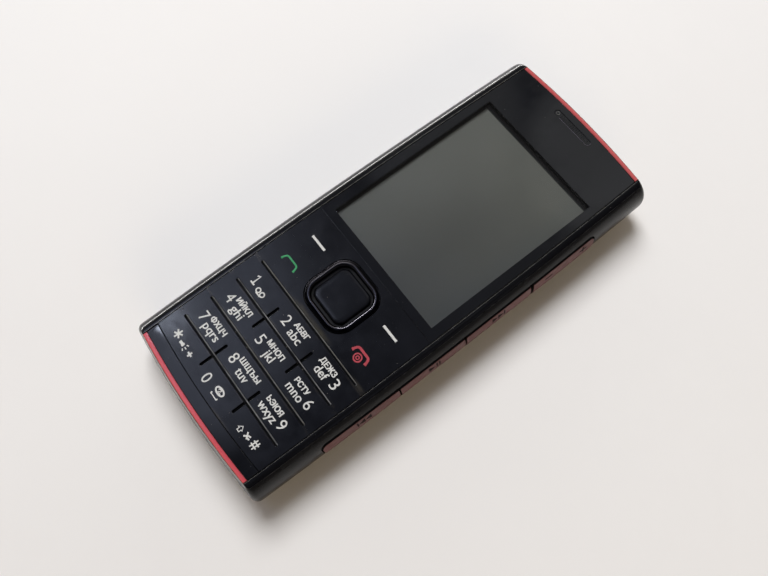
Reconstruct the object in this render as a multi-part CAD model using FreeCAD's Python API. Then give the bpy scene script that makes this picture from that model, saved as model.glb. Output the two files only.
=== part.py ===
import FreeCAD, Part
import math
import os

# Candybar phone lying on its back. Millimetres, +Z out of the front face, +Y to the earpiece
# end, +X to the side that carries the music and volume keys. The origin is the middle of the
# back plane. A depth is counted from the front face down into the phone, an inset from the
# half width or the half length inwards, a drop from the top end and a rise from the bottom end.

Vector = FreeCAD.Vector

# Overall size
length = 111.0
width = 47.0
thickness = 13.3
ring_raise = 0.4
side_bow_radius = 2080.0
end_bow_radius = 225.0

# Shape of the body in section
face_side_inset = 3.85
face_end_inset = 1.6
face_corner_radius = 0.8
wide_depth = 7.0
wide_corner_radius = 1.3
back_side_inset = 5.0
back_end_inset = 5.5
back_corner_radius = 3.5
front_steps = 4
back_steps = 3
cavity_steps = 2

# Walls and gaps
housing_wall = 1.2
cover_wall = 0.9
seam = 0.05
hairline = 0.01
face_gap = 0.2
key_gap = 0.15
card_gap = 0.1

# Front cover: rails, pocket for the face parts, floor and skirt
rail_side_inset = 2.65
rail_end_inset = 1.0
rail_corner_radius = 1.4
pocket_side_inset = 4.0
pocket_end_inset = 1.55
pocket_corner_radius = 0.3
pocket_depth = 1.3
floor_thickness = 0.9
skirt_wall = 1.0
skirt_depth = 3.1

# Face panel, display window and red end trims
trim_width = 1.0
trim_bevel = 0.35
panel_below_ring = 8.4
window_side_margin = 2.45
window_below_earpiece = 10.3
window_end_margin = 2.1
window_thickness = 0.95
window_ledge = 0.25
window_gap = 0.06
earpiece_end_margin = 2.5
earpiece_slot_length = 11.3
earpiece_slot_width = 1.4
earpiece_mesh_margin = 0.8
earpiece_mesh_depth = 0.6
earpiece_mesh_thickness = 0.3

# Key sheet
cap_thickness = 1.05
strip_width = 2.7
first_slot_from_end = 25.8
key_pitch_y = 6.5
slot_side_margin = 2.6
slot_width = 0.75
slot_end_cut = 0.6
slot_edge_bevel = 0.12
column_x = 6.0
cross_arm = 3.4
cross_arm_width = 0.65
function_column_x = 8.2
function_split_drop = 0.2

# Navigation ring and centre key
ring_above_slot = 8.9
ring_half_x = 6.95
ring_half_y = 6.85
ring_corner_radius = 4.2
ring_hole_half_x = 5.6
ring_hole_half_y = 5.4
ring_hole_radius = 2.8
ring_foot_depth = 0.45
ring_bevel = 0.35
ring_inner_bevel = 0.25
rocker_depth = 0.73
rocker_corner_cut = 3.1
rocker_hole_cut = 1.2
nav_reach = 5.5
centre_half_x = 4.95
centre_half_y = 4.75
centre_corner_radius = 1.9
centre_bevel = 0.15

# Inner parts of the front half
glass_margin_x = 0.35
glass_margin_y = 0.7
glass_depth = 1.45
glass_thickness = 0.9
frame_side_margin = 0.9
frame_top_margin = 2.3
frame_bottom_margin = 1.2
frame_depth = 1.75
display_back_depth = 3.05
mat_side_margin = 1.4
mat_depth = 1.35
mat_thickness = 0.4
plunger_side = 2.0
plunger_end_depth = 2.7
dome_side = 4.4
nav_dome_side = 2.6
dome_height = 0.25
dome_sheet_thickness = 0.15
board_depth = 3.2
board_thickness = 1.0
board_side_gap = 1.2
board_end_gap = 1.3
board_corner_radius = 2.0
earpiece_speaker_size = (12.0, 6.0)
earpiece_speaker_depth = 1.4

# Side keys
strip_half_length = 37.6
strip_top_depth = 2.3
strip_corner_radius = 1.6
strip_proud = 0.15
side_key_back_gap = 0.15
side_key_gap = 0.25
side_key_divider = 0.3
rocker_divider = 0.6
side_key_splits = (-0.47, 0.0, 0.5)
frame_side_wall = 2.1
frame_end_wall = 1.6
frame_inner_corner_radius = 2.5
flex_inset = 1.1
flex_thickness = 0.3
switch_height = 0.5
switch_length = 3.0

# Back: parting line of the battery cover, battery bay and cards
cover_top_drop = 33.5
battery_side_inset = 6.5
battery_below_cover_top = 5.0
battery_bottom_rise = 19.5
battery_thickness = 4.7
battery_edge_radius = 1.8
bay_wall = 1.0
bay_floor = 0.8
battery_gap = 0.25
holder_below_battery_top = 2.0
sim_size = (15.0, 12.0, 0.76)
memory_size = (11.0, 15.0, 0.8)
sim_corner_cut = 2.0
memory_corner_cut = 1.5
connector_half_width = 4.5
connector_base = 1.2
blade_width = 0.8
blade_pitch = 3.0
blade_base = 1.6
blade_top = 3.0
card_side_margin = 1.0
card_layer_z = 7.15
holder_wall = 0.3

# Camera, flash and loudspeakers
camera_drop = 15.5
camera_module_side = 8.6
camera_barrel_radius = 3.0
camera_window_radius = 4.2
camera_window_thickness = 0.8
camera_hole_side = 6.2
flash_drop = 22.9
flash_size = (3.2, 2.2)
speaker_side_inset = 11.2
speaker_drop = 22.0
speaker_size = (9.4, 13.0, 3.4)
speaker_corner = 1.5
grille_slot_size = (1.0, 8.0)
grille_slot_count = 3
grille_pitch = 2.4
motor_drop = 26.9
motor_radius = 4.0
motor_thickness = 2.6

# Sockets in the top end
end_block_side_inset = 6.5
end_block_wall = 3.7
end_block_z = 2.2
jack_side_inset = 11.2
jack_z = 5.5
jack_radius = 2.6
jack_bore_radius = 1.8
jack_length = 13.6
charger_side_inset = 11.5
charger_z = 5.6
charger_radius = 2.0
charger_bore_radius = 1.05
charger_pin_side = 0.5
charger_length = 9.0
usb_half_width = 3.75
usb_height = 2.6
usb_depth = 6.0
usb_wall = 0.3
usb_tongue = 0.7
flap_half_width = 4.8
flap_height = 3.6
flap_thickness = 1.0

# Bottom end and fasteners
antenna_top_rise = 14.5
antenna_side_inset = 8.0
antenna_base_z = 1.4
antenna_step = 2.4
antenna_bevel = 1.6
microphone_x = -7.0
microphone_rise = 5.3
microphone_half_size = 1.9
microphone_height = 0.9
microphone_hole_side = 0.9
finger_notch_half_width = 4.5
finger_notch_height = 0.9
screw_side_inset = 3.9
screw_rise = 17.1
screw_head_radius = 1.1
screw_boss_radius = 0.9
screw_head_height = 0.8
screw_shank_radius = 0.55
screw_tip_depth = 2.5

# Worked out from the sizes above
half_width = width / 2
half_length = length / 2
face_z = thickness - ring_raise
face_half_width = half_width - face_side_inset
face_half_length = half_length - face_end_inset
back_half_width = half_width - back_side_inset
back_half_length = half_length - back_end_inset
rail_half_width = half_width - rail_side_inset
rail_half_length = half_length - rail_end_inset
pocket_half_width = half_width - pocket_side_inset
pocket_half_length = half_length - pocket_end_inset
frame_inner_half_width = half_width - frame_side_wall
frame_inner_half_length = half_length - frame_end_wall
trim_outer_length = face_half_length
trim_inner_length = trim_outer_length - trim_width
strip_inner_end = trim_inner_length - strip_width
key_sheet_end = strip_inner_end - 2 * seam
slot_first_y = first_slot_from_end - key_sheet_end
slot_half_length = pocket_half_width - slot_side_margin
nav_y = slot_first_y + ring_above_slot
function_split_y = nav_y - function_split_drop
panel_bottom_y = nav_y + panel_below_ring
earpiece_y = trim_inner_length - earpiece_end_margin
window_half_width = pocket_half_width - window_side_margin
window_top_y = earpiece_y - window_below_earpiece
window_bottom_y = panel_bottom_y + window_end_margin
glass_half_width = window_half_width + glass_margin_x
frame_half_width = pocket_half_width - frame_side_margin
frame_top_y = window_top_y + frame_top_margin
frame_bottom_y = panel_bottom_y - frame_bottom_margin
mat_half_width = pocket_half_width - mat_side_margin
board_half_width = frame_inner_half_width - board_side_gap
board_half_length = frame_inner_half_length - board_end_gap
side_key_back_x = frame_inner_half_width + side_key_back_gap
flex_x = frame_inner_half_width - flex_inset
cover_top_y = half_length - cover_top_drop
battery_half_width = half_width - battery_side_inset
battery_top_y = cover_top_y - battery_below_cover_top
battery_bottom_y = battery_bottom_rise - half_length
card_holder_top_y = battery_top_y - holder_below_battery_top
sim_x = card_side_margin + sim_size[0] / 2 - battery_half_width
memory_x = battery_half_width - card_side_margin - memory_size[0] / 2
camera_y = half_length - camera_drop
flash_y = half_length - flash_drop
speaker_x = half_width - speaker_side_inset
speaker_y = half_length - speaker_drop
motor_y = half_length - motor_drop
end_block_half_width = half_width - end_block_side_inset
end_block_y = half_length - end_block_wall
jack_x = half_width - jack_side_inset
charger_x = charger_side_inset - half_width
antenna_top_y = antenna_top_rise - half_length
antenna_half_width = half_width - antenna_side_inset
microphone_y = microphone_rise - half_length
screw_x = half_width - screw_side_inset
screw_y = screw_rise - half_length
wide_z = face_z - wide_depth
board_top_z = face_z - board_depth
board_bottom_z = board_top_z - board_thickness
battery_base_z = cover_wall + battery_gap
battery_top_z = battery_base_z + battery_thickness
bay_floor_z = battery_top_z + card_gap
rear_plate_base_z = wide_z - bay_wall
shells_split_z = wide_z - seam
big = 2 * length


def box(x0, x1, y0, y1, z0, z1):
    """A box between two corners."""
    return Part.makeBox(x1 - x0, y1 - y0, z1 - z0, Vector(x0, y0, z0))


def corner_points(half_width, half_length, radius):
    """Tangent points and middle of the corner arc where the bowed side meets the bowed end."""
    side_centre = Vector(half_width - side_bow_radius, 0, 0)
    end_centre = Vector(0, half_length - end_bow_radius, 0)
    side_reach = side_bow_radius - radius
    end_reach = end_bow_radius - radius
    between = end_centre - side_centre
    distance = between.Length
    along = (side_reach ** 2 - end_reach ** 2 + distance ** 2) / (2 * distance)
    across = math.sqrt(side_reach ** 2 - along ** 2)
    unit = between.normalize()
    centre = side_centre + unit * along + Vector(-unit.y, unit.x, 0) * across
    to_side = (centre - side_centre).normalize()
    to_end = (centre - end_centre).normalize()
    to_middle = (to_side + to_end).normalize()
    return centre + to_side * radius, centre + to_middle * radius, centre + to_end * radius


def outline(half_width, half_length, radius, z, round_corners=True):
    """The phone's plan outline: bowed sides and ends with round or straight corners."""
    side, middle, end = corner_points(half_width, half_length, radius)

    def at(point, sign_x, sign_y):
        return Vector(point.x * sign_x, point.y * sign_y, z)

    def corner(first, across, last):
        if round_corners:
            return Part.Arc(first, across, last)
        return Part.LineSegment(first, last)

    edges = []
    for sign in (1, -1):
        side_apex = Vector(half_width * sign, 0, z)
        edges.append(Part.Arc(at(side, sign, -sign), side_apex, at(side, sign, sign)))
        edges.append(corner(at(side, sign, sign), at(middle, sign, sign), at(end, sign, sign)))
        end_apex = Vector(0, half_length * sign, z)
        edges.append(Part.Arc(at(end, sign, sign), end_apex, at(end, -sign, sign)))
        edges.append(corner(at(end, -sign, sign), at(middle, -sign, sign), at(side, -sign, sign)))
    return Part.Wire([edge.toShape() for edge in edges])


def outline_prism(half_width, half_length, radius, z0, z1, round_corners=True):
    """The plan outline pulled up from z0 to z1."""
    face = Part.Face(outline(half_width, half_length, radius, z0, round_corners))
    return face.extrude(Vector(0, 0, z1 - z0))


def bowed_band(half_width, inner, outer, z0, z1, end):
    """A band across the phone between two bowed lines, at the top end (1) or bottom end (-1)."""
    def bow(reach, x):
        return end * (reach - end_bow_radius + math.sqrt(end_bow_radius ** 2 - x ** 2))

    def corner(x, reach):
        return Vector(x, bow(reach, x), z0)

    edges = [
        Part.Arc(corner(-half_width, inner), corner(0, inner), corner(half_width, inner)),
        Part.LineSegment(corner(half_width, inner), corner(half_width, outer)),
        Part.Arc(corner(half_width, outer), corner(0, outer), corner(-half_width, outer)),
        Part.LineSegment(corner(-half_width, outer), corner(-half_width, inner)),
    ]
    wire = Part.Wire([edge.toShape() for edge in edges])
    return Part.Face(wire).extrude(Vector(0, 0, z1 - z0))


def rounded_rectangle(half_x, half_y, radius, x, y, z):
    """A rectangle with round corners, flat at height z."""
    points = []
    for sign_x, sign_y in ((1, 1), (-1, 1), (-1, -1), (1, -1)):
        centre = Vector(x + sign_x * (half_x - radius), y + sign_y * (half_y - radius), z)
        across = Vector(sign_x * radius, 0, 0)
        upward = Vector(0, sign_y * radius, 0)
        middle = (across + upward) * math.sqrt(0.5)
        arc = (centre + across, centre + middle, centre + upward)
        points.append(arc if sign_x == sign_y else arc[::-1])
    edges = []
    for index, arc in enumerate(points):
        edges.append(Part.Arc(*arc).toShape())
        edges.append(Part.LineSegment(arc[2], points[(index + 1) % 4][0]).toShape())
    return Part.Wire(edges)


def rounded_block(half_x, half_y, radius, x, y, z0, z1):
    """A block with round upright edges."""
    face = Part.Face(rounded_rectangle(half_x, half_y, radius, x, y, z0))
    return face.extrude(Vector(0, 0, z1 - z0))


def straight_slot(half_x, half_y, x, y, z0, z1):
    """A narrow slot whose ends narrow in two short slopes."""
    narrow = slot_end_cut * min(half_x, half_y)
    corners = ((half_x, half_y - narrow), (half_x - narrow, half_y))
    loop = []
    for sign_x, sign_y in ((1, 1), (-1, 1), (-1, -1), (1, -1)):
        ordered = corners if sign_x == sign_y else corners[::-1]
        loop += [Vector(x + sign_x * a, y + sign_y * b, z0) for a, b in ordered]
    face = Part.Face(Part.makePolygon(loop + loop[:1]))
    return face.extrude(Vector(0, 0, z1 - z0))


def slot_block(half_length, slot_thickness, x, y, z0, z1):
    """A slot along X with round ends."""
    tiny = slot_thickness / 2 - 0.01
    return rounded_block(half_length, slot_thickness / 2, tiny, x, y, z0, z1)


def cylinder_y(radius, x, z, y0, y1):
    """A cylinder along Y."""
    return Part.makeCylinder(radius, y1 - y0, Vector(x, y0, z), Vector(0, 1, 0))


def back_section(part, inset):
    """Outline of the back part of the way (0 to 1) from the back plane to the widest line."""
    swing = math.sin(math.pi / 2 * part)
    drop = math.cos(math.pi / 2 * part)
    return outline(
        back_half_width + (width / 2 - back_half_width - inset) * swing,
        back_half_length + (length / 2 - back_half_length - inset) * swing,
        back_corner_radius + (wide_corner_radius - back_corner_radius - inset / 2) * swing,
        wide_z - (wide_z - inset) * drop, inset <= 0)


def front_section(part, inset):
    """Outline of the front part of the way (0 to 1) from the face to the widest line."""
    swing = math.sin(math.pi / 2 * part)
    depth = wide_depth - (wide_depth - inset) * math.cos(math.pi / 2 * part)
    lean = math.sin(math.pi / 2 * depth / wide_depth)
    return outline(
        face_half_width + (width / 2 - face_half_width - inset) * swing,
        face_half_length + (length / 2 - face_half_length) * lean - inset * swing,
        face_corner_radius + (wide_corner_radius - face_corner_radius - inset / 2) * swing,
        face_z - depth, inset <= 0)


def body(inset=0.0):
    """The whole phone lofted through its outlines, or a plainer one drawn in by an inset."""
    back = cavity_steps if inset > 0 else back_steps
    front = cavity_steps if inset > 0 else front_steps
    sections = [back_section(step / back, inset) for step in range(back + 1)]
    sections += [front_section(1 - step / front, inset) for step in range(1, front + 1)]
    return Part.makeLoft(sections, True, True)


def top_edges(solid, z, keep):
    """The solid's edges that lie flat at height z and pass the test."""
    found = []
    for edge in solid.Edges:
        bounds = edge.BoundBox
        if abs(bounds.ZMin - z) < 1e-4 and abs(bounds.ZMax - z) < 1e-4 and keep(edge):
            found.append(edge)
    return found


def screw_places():
    """Where the housing screws stand, as x and y."""
    return [(sign * screw_x, screw_y) for sign in (-1, 1)]


def front_cover(whole):
    """Gloss frame of the face: two rails, the pocket's floor with its windows and the skirt."""
    z_floor = face_z - pocket_depth
    z_under = z_floor - floor_thickness
    z_skirt = face_z - skirt_depth
    block = outline_prism(rail_half_width, rail_half_length, rail_corner_radius, z_skirt, face_z)
    frame = block.common(whole)
    frame = frame.cut(outline_prism(pocket_half_width, pocket_half_length, pocket_corner_radius,
                                    z_floor, face_z + 1))
    inner_half_width = rail_half_width - skirt_wall
    inner_half_length = rail_half_length - skirt_wall
    frame = frame.cut(outline_prism(inner_half_width, inner_half_length, rail_corner_radius,
                                    z_skirt - 1, z_under, False))
    display = box(-frame_half_width - face_gap, frame_half_width + face_gap,
                  frame_bottom_y - face_gap, frame_top_y + face_gap, z_under - 1, z_floor + 1)
    mat_top_y = frame_bottom_y - 3 * face_gap
    keys = box(-mat_half_width - face_gap, mat_half_width + face_gap,
               mat_bottom_y() - face_gap, mat_top_y, z_under - 1, z_floor + 1)
    sound_x = earpiece_speaker_size[0] / 2 + face_gap
    sound_y = earpiece_speaker_size[1] / 2 + face_gap
    sound = box(-sound_x, sound_x, earpiece_speaker_y() - sound_y,
                earpiece_speaker_y() + sound_y, z_under - 1, z_floor + 1)
    frame = frame.cut(Part.makeCompound([display, keys, sound]))
    for x, y in screw_places():
        boss = Part.makeCylinder(screw_boss_radius, z_under - z_skirt, Vector(x, y, z_skirt))
        frame = frame.fuse(boss.common(block))
        hole = Part.makeCylinder(screw_shank_radius, skirt_depth - screw_tip_depth + seam,
                                 Vector(x, y, z_skirt))
        frame = frame.cut(hole)
    return frame.removeSplitter()


def mat_bottom_y():
    """Lower end of the rubber mat, just above the bottom strip."""
    return -(key_sheet_end - 3 * slot_width)


def earpiece_speaker_y():
    """The earpiece speaker sits just above the display."""
    return frame_top_y + 4 * face_gap + earpiece_speaker_size[1] / 2


def face_panel():
    """Gloss panel round the display, with the earpiece slot and the window's seat."""
    z_back = face_z - pocket_depth
    panel = outline_prism(pocket_half_width - face_gap, trim_inner_length - seam,
                          pocket_corner_radius / 2, z_back, face_z)
    panel = panel.cut(box(-big, big, -big, panel_bottom_y, z_back - 1, face_z + 1))
    window_z = face_z - window_thickness
    seat = box(-window_half_width, window_half_width, window_bottom_y, window_top_y,
               window_z, face_z + 1)
    sight = box(-window_half_width + window_ledge, window_half_width - window_ledge,
                window_bottom_y + window_ledge, window_top_y - window_ledge, z_back - 1, face_z)
    slot = slot_block(earpiece_slot_length / 2, earpiece_slot_width, 0, earpiece_y,
                      z_back - 1, face_z + 1)
    rebate_x = earpiece_slot_length / 2 + earpiece_mesh_margin
    rebate_y = earpiece_slot_width / 2 + earpiece_mesh_margin
    rebate = box(-rebate_x, rebate_x, earpiece_y - rebate_y, earpiece_y + rebate_y,
                 z_back - 1, face_z - earpiece_mesh_depth)
    return panel.cut(Part.makeCompound([seat, sight, rebate])).cut(slot)


def display_window():
    """Clear window that fills the panel's seat."""
    return box(window_gap - window_half_width, window_half_width - window_gap,
               window_bottom_y + window_gap, window_top_y - window_gap,
               face_z - window_thickness, face_z)


def end_trim(end):
    """Red bar along one end of the face, its outer edge bevelled."""
    trim_half_width = pocket_half_width - face_gap - side_bow(trim_inner_length)
    trim = bowed_band(trim_half_width, trim_inner_length, trim_outer_length,
                      face_z - pocket_depth, face_z, end)
    outer_y = trim_inner_length + (trim_outer_length - trim_inner_length) / 2
    edges = top_edges(trim, face_z, lambda edge: edge.Length > trim_half_width
                      and abs(edge.BoundBox.Center.y) > outer_y - 0.5
                      and abs(edge.valueAt(edge.FirstParameter).y) > outer_y - end_bow(trim_half_width))
    return trim.makeChamfer(trim_bevel, edges)


def side_bow(y):
    """How far the bowed side has drawn in at y."""
    return side_bow_radius - math.sqrt(side_bow_radius ** 2 - y ** 2)


def end_bow(x):
    """How far the bowed end has drawn in at x."""
    return end_bow_radius - math.sqrt(end_bow_radius ** 2 - x ** 2)


def bottom_strip():
    """Plain gloss strip between the key sheet and the lower red bar."""
    strip_half_width = pocket_half_width - face_gap - side_bow(trim_inner_length)
    return bowed_band(strip_half_width, strip_inner_end, trim_inner_length - seam,
                      face_z - pocket_depth, face_z, -1)


def slot_y(index):
    """Height of the slot above number row index."""
    return slot_first_y - index * key_pitch_y


def key_sheet():
    """The gloss sheet of keys in one piece, with its long slots and its four crosses."""
    z0 = face_z - cap_thickness
    sheet = outline_prism(pocket_half_width - face_gap, key_sheet_end, pocket_corner_radius / 2,
                          z0, face_z)
    sheet = sheet.cut(box(-big, big, panel_bottom_y - seam, big, z0 - 1, face_z + 1))
    cuts = []
    for index in range(4):
        cuts.append(straight_slot(slot_half_length, slot_width / 2, 0, slot_y(index),
                                  z0 - 1, face_z + 1))
    for index in (1, 3):
        for side in (-1, 1):
            cuts.append(straight_slot(cross_arm_width / 2, cross_arm, side * column_x,
                                      slot_y(index), z0 - 1, face_z + 1))
    slots = cuts[0].multiFuse(cuts[1:])
    sheet = sheet.cut(slots)

    def on_slot(edge):
        point = edge.valueAt((edge.FirstParameter + edge.LastParameter) / 2)
        inside = point.y < slot_first_y + slot_width and point.y > slot_y(4) + slot_width
        return inside and abs(point.x) < slot_half_length + slot_edge_bevel

    return sheet.makeChamfer(slot_edge_bevel, top_edges(sheet, face_z, on_slot))


def cell(sheet, x0, x1, y0, y1):
    """One key: the part of the sheet inside its own cell."""
    return sheet.common(box(x0 + hairline, x1 - hairline, y0 + hairline, y1 - hairline,
                            0, thickness + 1))


def number_keys(sheet):
    """The twelve keys of the number pad by name."""
    names = ("key_1", "key_2", "key_3", "key_4", "key_5", "key_6",
             "key_7", "key_8", "key_9", "key_star", "key_0", "key_hash")
    column_edges = (-width, -column_x, column_x, width)
    keys = {}
    for index, name in enumerate(names):
        row, column = divmod(index, 3)
        lower = slot_y(row + 1) if row < 3 else -length
        keys[name] = cell(sheet, column_edges[column], column_edges[column + 1],
                          lower, slot_y(row))
    return keys


def function_keys(sheet):
    """Soft keys, call key and end key beside the navigation ring."""
    upper = (function_split_y, 0)
    lower = (slot_y(0), function_split_y)
    left = (-width, -function_column_x)
    right = (function_column_x, width)
    return {
        "soft_key_left": cell(sheet, *left, *upper),
        "soft_key_right": cell(sheet, *right, *upper),
        "call_key": cell(sheet, *left, *lower),
        "end_key": cell(sheet, *right, *lower),
    }


def nav_plate(sheet):
    """Fixed plate between the function keys, open for the navigation ring."""
    plate = cell(sheet, -function_column_x, function_column_x, slot_y(0), 0)
    foot = box(-function_column_x + hairline, function_column_x - hairline,
               slot_y(0) + slot_width, panel_bottom_y - seam,
               face_z - pocket_depth, face_z - cap_thickness)
    opening = rounded_block(ring_half_x + key_gap, ring_half_y + key_gap,
                            ring_corner_radius + key_gap, 0, nav_y,
                            face_z - pocket_depth - 1, face_z + 1)
    return plate.fuse(foot).cut(opening)


def nav_ring():
    """Raised rim of the navigation ring with bevelled edges."""
    ring = rounded_block(ring_half_x, ring_half_y, ring_corner_radius, 0, nav_y,
                         face_z - ring_foot_depth, thickness)
    hole = rounded_block(ring_hole_half_x, ring_hole_half_y, ring_hole_radius, 0, nav_y,
                         face_z - ring_foot_depth - 1, thickness + 1)
    ring = ring.cut(hole)

    def outer(edge):
        point = edge.valueAt((edge.FirstParameter + edge.LastParameter) / 2)
        return max(abs(point.x), abs(point.y - nav_y)) > ring_hole_half_x + 0.01

    def inner(edge):
        return not outer(edge)

    ring = ring.makeChamfer(ring_bevel, top_edges(ring, thickness, outer))
    return ring.makeChamfer(ring_inner_bevel, top_edges(ring, thickness, inner))


def straight_corner_block(half_x, half_y, cut, y, z0, z1):
    """A block centred on the phone's width with its upright corners cut straight."""
    block = box(-half_x, half_x, y - half_y, y + half_y, z0, z1)
    edges = [edge for edge in block.Edges if edge.BoundBox.XLength + edge.BoundBox.YLength < 1e-6]
    return block.makeChamfer(cut, edges)


def nav_rocker():
    """Base of the ring that rocks on the board's domes."""
    z0 = face_z - cap_thickness
    base = straight_corner_block(ring_half_x - seam, ring_half_y - seam, rocker_corner_cut,
                                 nav_y, z0, face_z - rocker_depth)
    hole = straight_corner_block(centre_half_x + key_gap, centre_half_y + key_gap,
                                 rocker_hole_cut, nav_y, z0 - 1, face_z)
    return base.cut(hole)


def centre_key():
    """Flat centre key inside the ring."""
    key = rounded_block(centre_half_x, centre_half_y, centre_corner_radius, 0, nav_y,
                        face_z - cap_thickness, face_z)
    return key.makeChamfer(centre_bevel, top_edges(key, face_z, lambda edge: True))


def earpiece_mesh():
    """Fine mesh strip behind the earpiece slot."""
    half_x = earpiece_slot_length / 2 + earpiece_mesh_margin - seam
    half_y = earpiece_slot_width / 2 + earpiece_mesh_margin - seam
    return box(-half_x, half_x, earpiece_y - half_y, earpiece_y + half_y,
               face_z - earpiece_mesh_depth - earpiece_mesh_thickness,
               face_z - earpiece_mesh_depth)


def earpiece_speaker():
    """Flat speaker under the earpiece slot."""
    half_x = earpiece_speaker_size[0] / 2
    half_y = earpiece_speaker_size[1] / 2
    y = earpiece_speaker_y()
    return box(-half_x, half_x, y - half_y, y + half_y, board_top_z + seam,
               face_z - earpiece_speaker_depth)


def display_glass():
    """Glass of the liquid crystal display."""
    return box(-glass_half_width, glass_half_width, window_bottom_y - glass_margin_y,
               window_top_y + glass_margin_y, face_z - glass_depth - glass_thickness,
               face_z - glass_depth)


def display_frame():
    """Metal tray that carries the display glass and its light guide."""
    frame = box(-frame_half_width, frame_half_width, frame_bottom_y, frame_top_y,
                face_z - display_back_depth, face_z - frame_depth)
    seat = box(-glass_half_width - seam, glass_half_width + seam,
               window_bottom_y - glass_margin_y - seam, window_top_y + glass_margin_y + seam,
               face_z - glass_depth - glass_thickness, face_z)
    return frame.cut(seat)


def switch_places():
    """Centres of all keys that press a dome on the board."""
    columns = (-(column_x + pocket_half_width) / 2, 0, (column_x + pocket_half_width) / 2)
    places = [(x, slot_y(row) - key_pitch_y / 2) for row in range(4) for x in columns]
    function_x = (function_column_x + pocket_half_width) / 2
    for y in ((panel_bottom_y + function_split_y) / 2 - 1.2, (slot_y(0) + function_split_y) / 2):
        places += [(-function_x, y), (function_x, y)]
    return places


def nav_places():
    """The centre dome and the four that the ring presses."""
    return [(0, nav_y), (nav_reach, nav_y), (-nav_reach, nav_y),
            (0, nav_y + nav_reach), (0, nav_y - nav_reach)]


def keypad_mat():
    """Rubber mat under the keys, with a plunger over each dome."""
    top_y = frame_bottom_y - 4 * face_gap
    mat = box(-mat_half_width, mat_half_width, mat_bottom_y(), top_y,
              face_z - mat_depth - mat_thickness, face_z - mat_depth)
    half = plunger_side / 2
    plungers = [box(x - half, x + half, min(y + half, top_y) - plunger_side,
                    min(y + half, top_y), face_z - plunger_end_depth,
                    face_z - mat_depth - mat_thickness)
                for x, y in switch_places() + nav_places()]
    return mat.multiFuse(plungers).removeSplitter()


def dome(x, y, side, z):
    """A square metal dome that slopes up to its flat top."""
    half = side / 2
    top_z = z + dome_height
    block = box(x - half, x + half, y - half, y + half, z - dome_sheet_thickness / 2, top_z)
    return block.makeChamfer(dome_height - seam, top_edges(block, top_z, lambda edge: True))


def dome_sheet():
    """Sheet that holds the metal domes on the board."""
    top_y = frame_bottom_y - 2 * face_gap
    sheet = box(-mat_half_width, mat_half_width, mat_bottom_y(), top_y,
                board_top_z, board_top_z + dome_sheet_thickness)
    z = board_top_z + dome_sheet_thickness
    domes = [dome(x, min(y, top_y - dome_side / 2), dome_side, z) for x, y in switch_places()]
    domes += [dome(x, y, nav_dome_side, z) for x, y in nav_places()]
    return sheet.multiFuse(domes)


def circuit_board():
    """Main board the full length of the phone, notched for the housing screws."""
    board = outline_prism(board_half_width, board_half_length, board_corner_radius,
                          board_bottom_z, board_top_z, False)
    notches = []
    for x, y in screw_places():
        side = 1 if x > 0 else -1
        reach = screw_shank_radius + card_gap
        inner_x = x - side * reach
        notches.append(box(min(inner_x, side * big), max(inner_x, side * big),
                           y - reach, y + reach, board_bottom_z - 1, board_top_z + 1))
    return board.cut(Part.makeCompound(notches))


def shield_cans():
    """Two sheet metal shields under the board, over the battery bay."""
    high = board_bottom_z
    low = bay_floor_z + bay_floor + seam
    middle = (battery_bottom_y + sim_window_bottom()) / 2
    cans = []
    for y0, y1 in ((battery_bottom_y, middle - 0.5), (middle + 0.5, sim_window_bottom() - 0.8)):
        half_width = battery_half_width - 1
        can = box(-half_width, half_width, y0, y1, low, high)
        hollow = box(holder_wall - half_width, half_width - holder_wall, y0 + holder_wall,
                     y1 - holder_wall, low + holder_wall, high)
        cans.append(can.cut(hollow))
    return Part.makeCompound(cans)


def antenna_carrier():
    """Plastic carrier of the antenna across the bottom end."""
    middle_z = (antenna_base_z + board_bottom_z) / 2
    end_y_inside = frame_inner_half_length - end_bow(antenna_half_width) - 2 * card_gap
    lower = box(-antenna_half_width, antenna_half_width, -end_y_inside + antenna_step,
                antenna_top_y, antenna_base_z, middle_z)
    upper = box(-antenna_half_width, antenna_half_width, -end_y_inside, antenna_top_y,
                middle_z, board_bottom_z)
    edge = [edge for edge in lower.Edges if edge.BoundBox.ZMax < antenna_base_z + seam
            and edge.BoundBox.YMax < antenna_top_y - 1]
    return lower.makeChamfer(antenna_bevel, edge).fuse(upper).removeSplitter()


def microphone():
    """Small square microphone on the board's lower end."""
    half = microphone_half_size
    return box(microphone_x - half, microphone_x + half, microphone_y - half,
               microphone_y + half, board_top_z, board_top_z + microphone_height)


def battery():
    """Flat battery with round long edges."""
    pack = box(-battery_half_width, battery_half_width, battery_bottom_y, battery_top_y,
               battery_base_z, battery_top_z)
    edges = [edge for edge in pack.Edges
             if edge.BoundBox.YLength > 1 and edge.BoundBox.XLength < 1e-6]
    return pack.makeFillet(battery_edge_radius, edges)


def battery_connector():
    """Spring contact block at the top of the battery bay."""
    block = box(-connector_half_width, connector_half_width, battery_top_y + card_gap * 2,
                cover_top_y - bay_wall - 2 * seam, battery_base_z + connector_base, board_bottom_z)
    half = blade_width / 2
    blades = [box(step * blade_pitch - half, step * blade_pitch + half,
                  battery_top_y + card_gap, battery_top_y + card_gap * 2,
                  battery_base_z + blade_base, battery_base_z + blade_top)
              for step in (-1, 0, 1)]
    return block.multiFuse(blades)


def sim_window_bottom():
    """Lower end of the opening where both cards slide out."""
    return card_holder_top_y - 2 * max(sim_size[1], memory_size[1]) - 1


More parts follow.
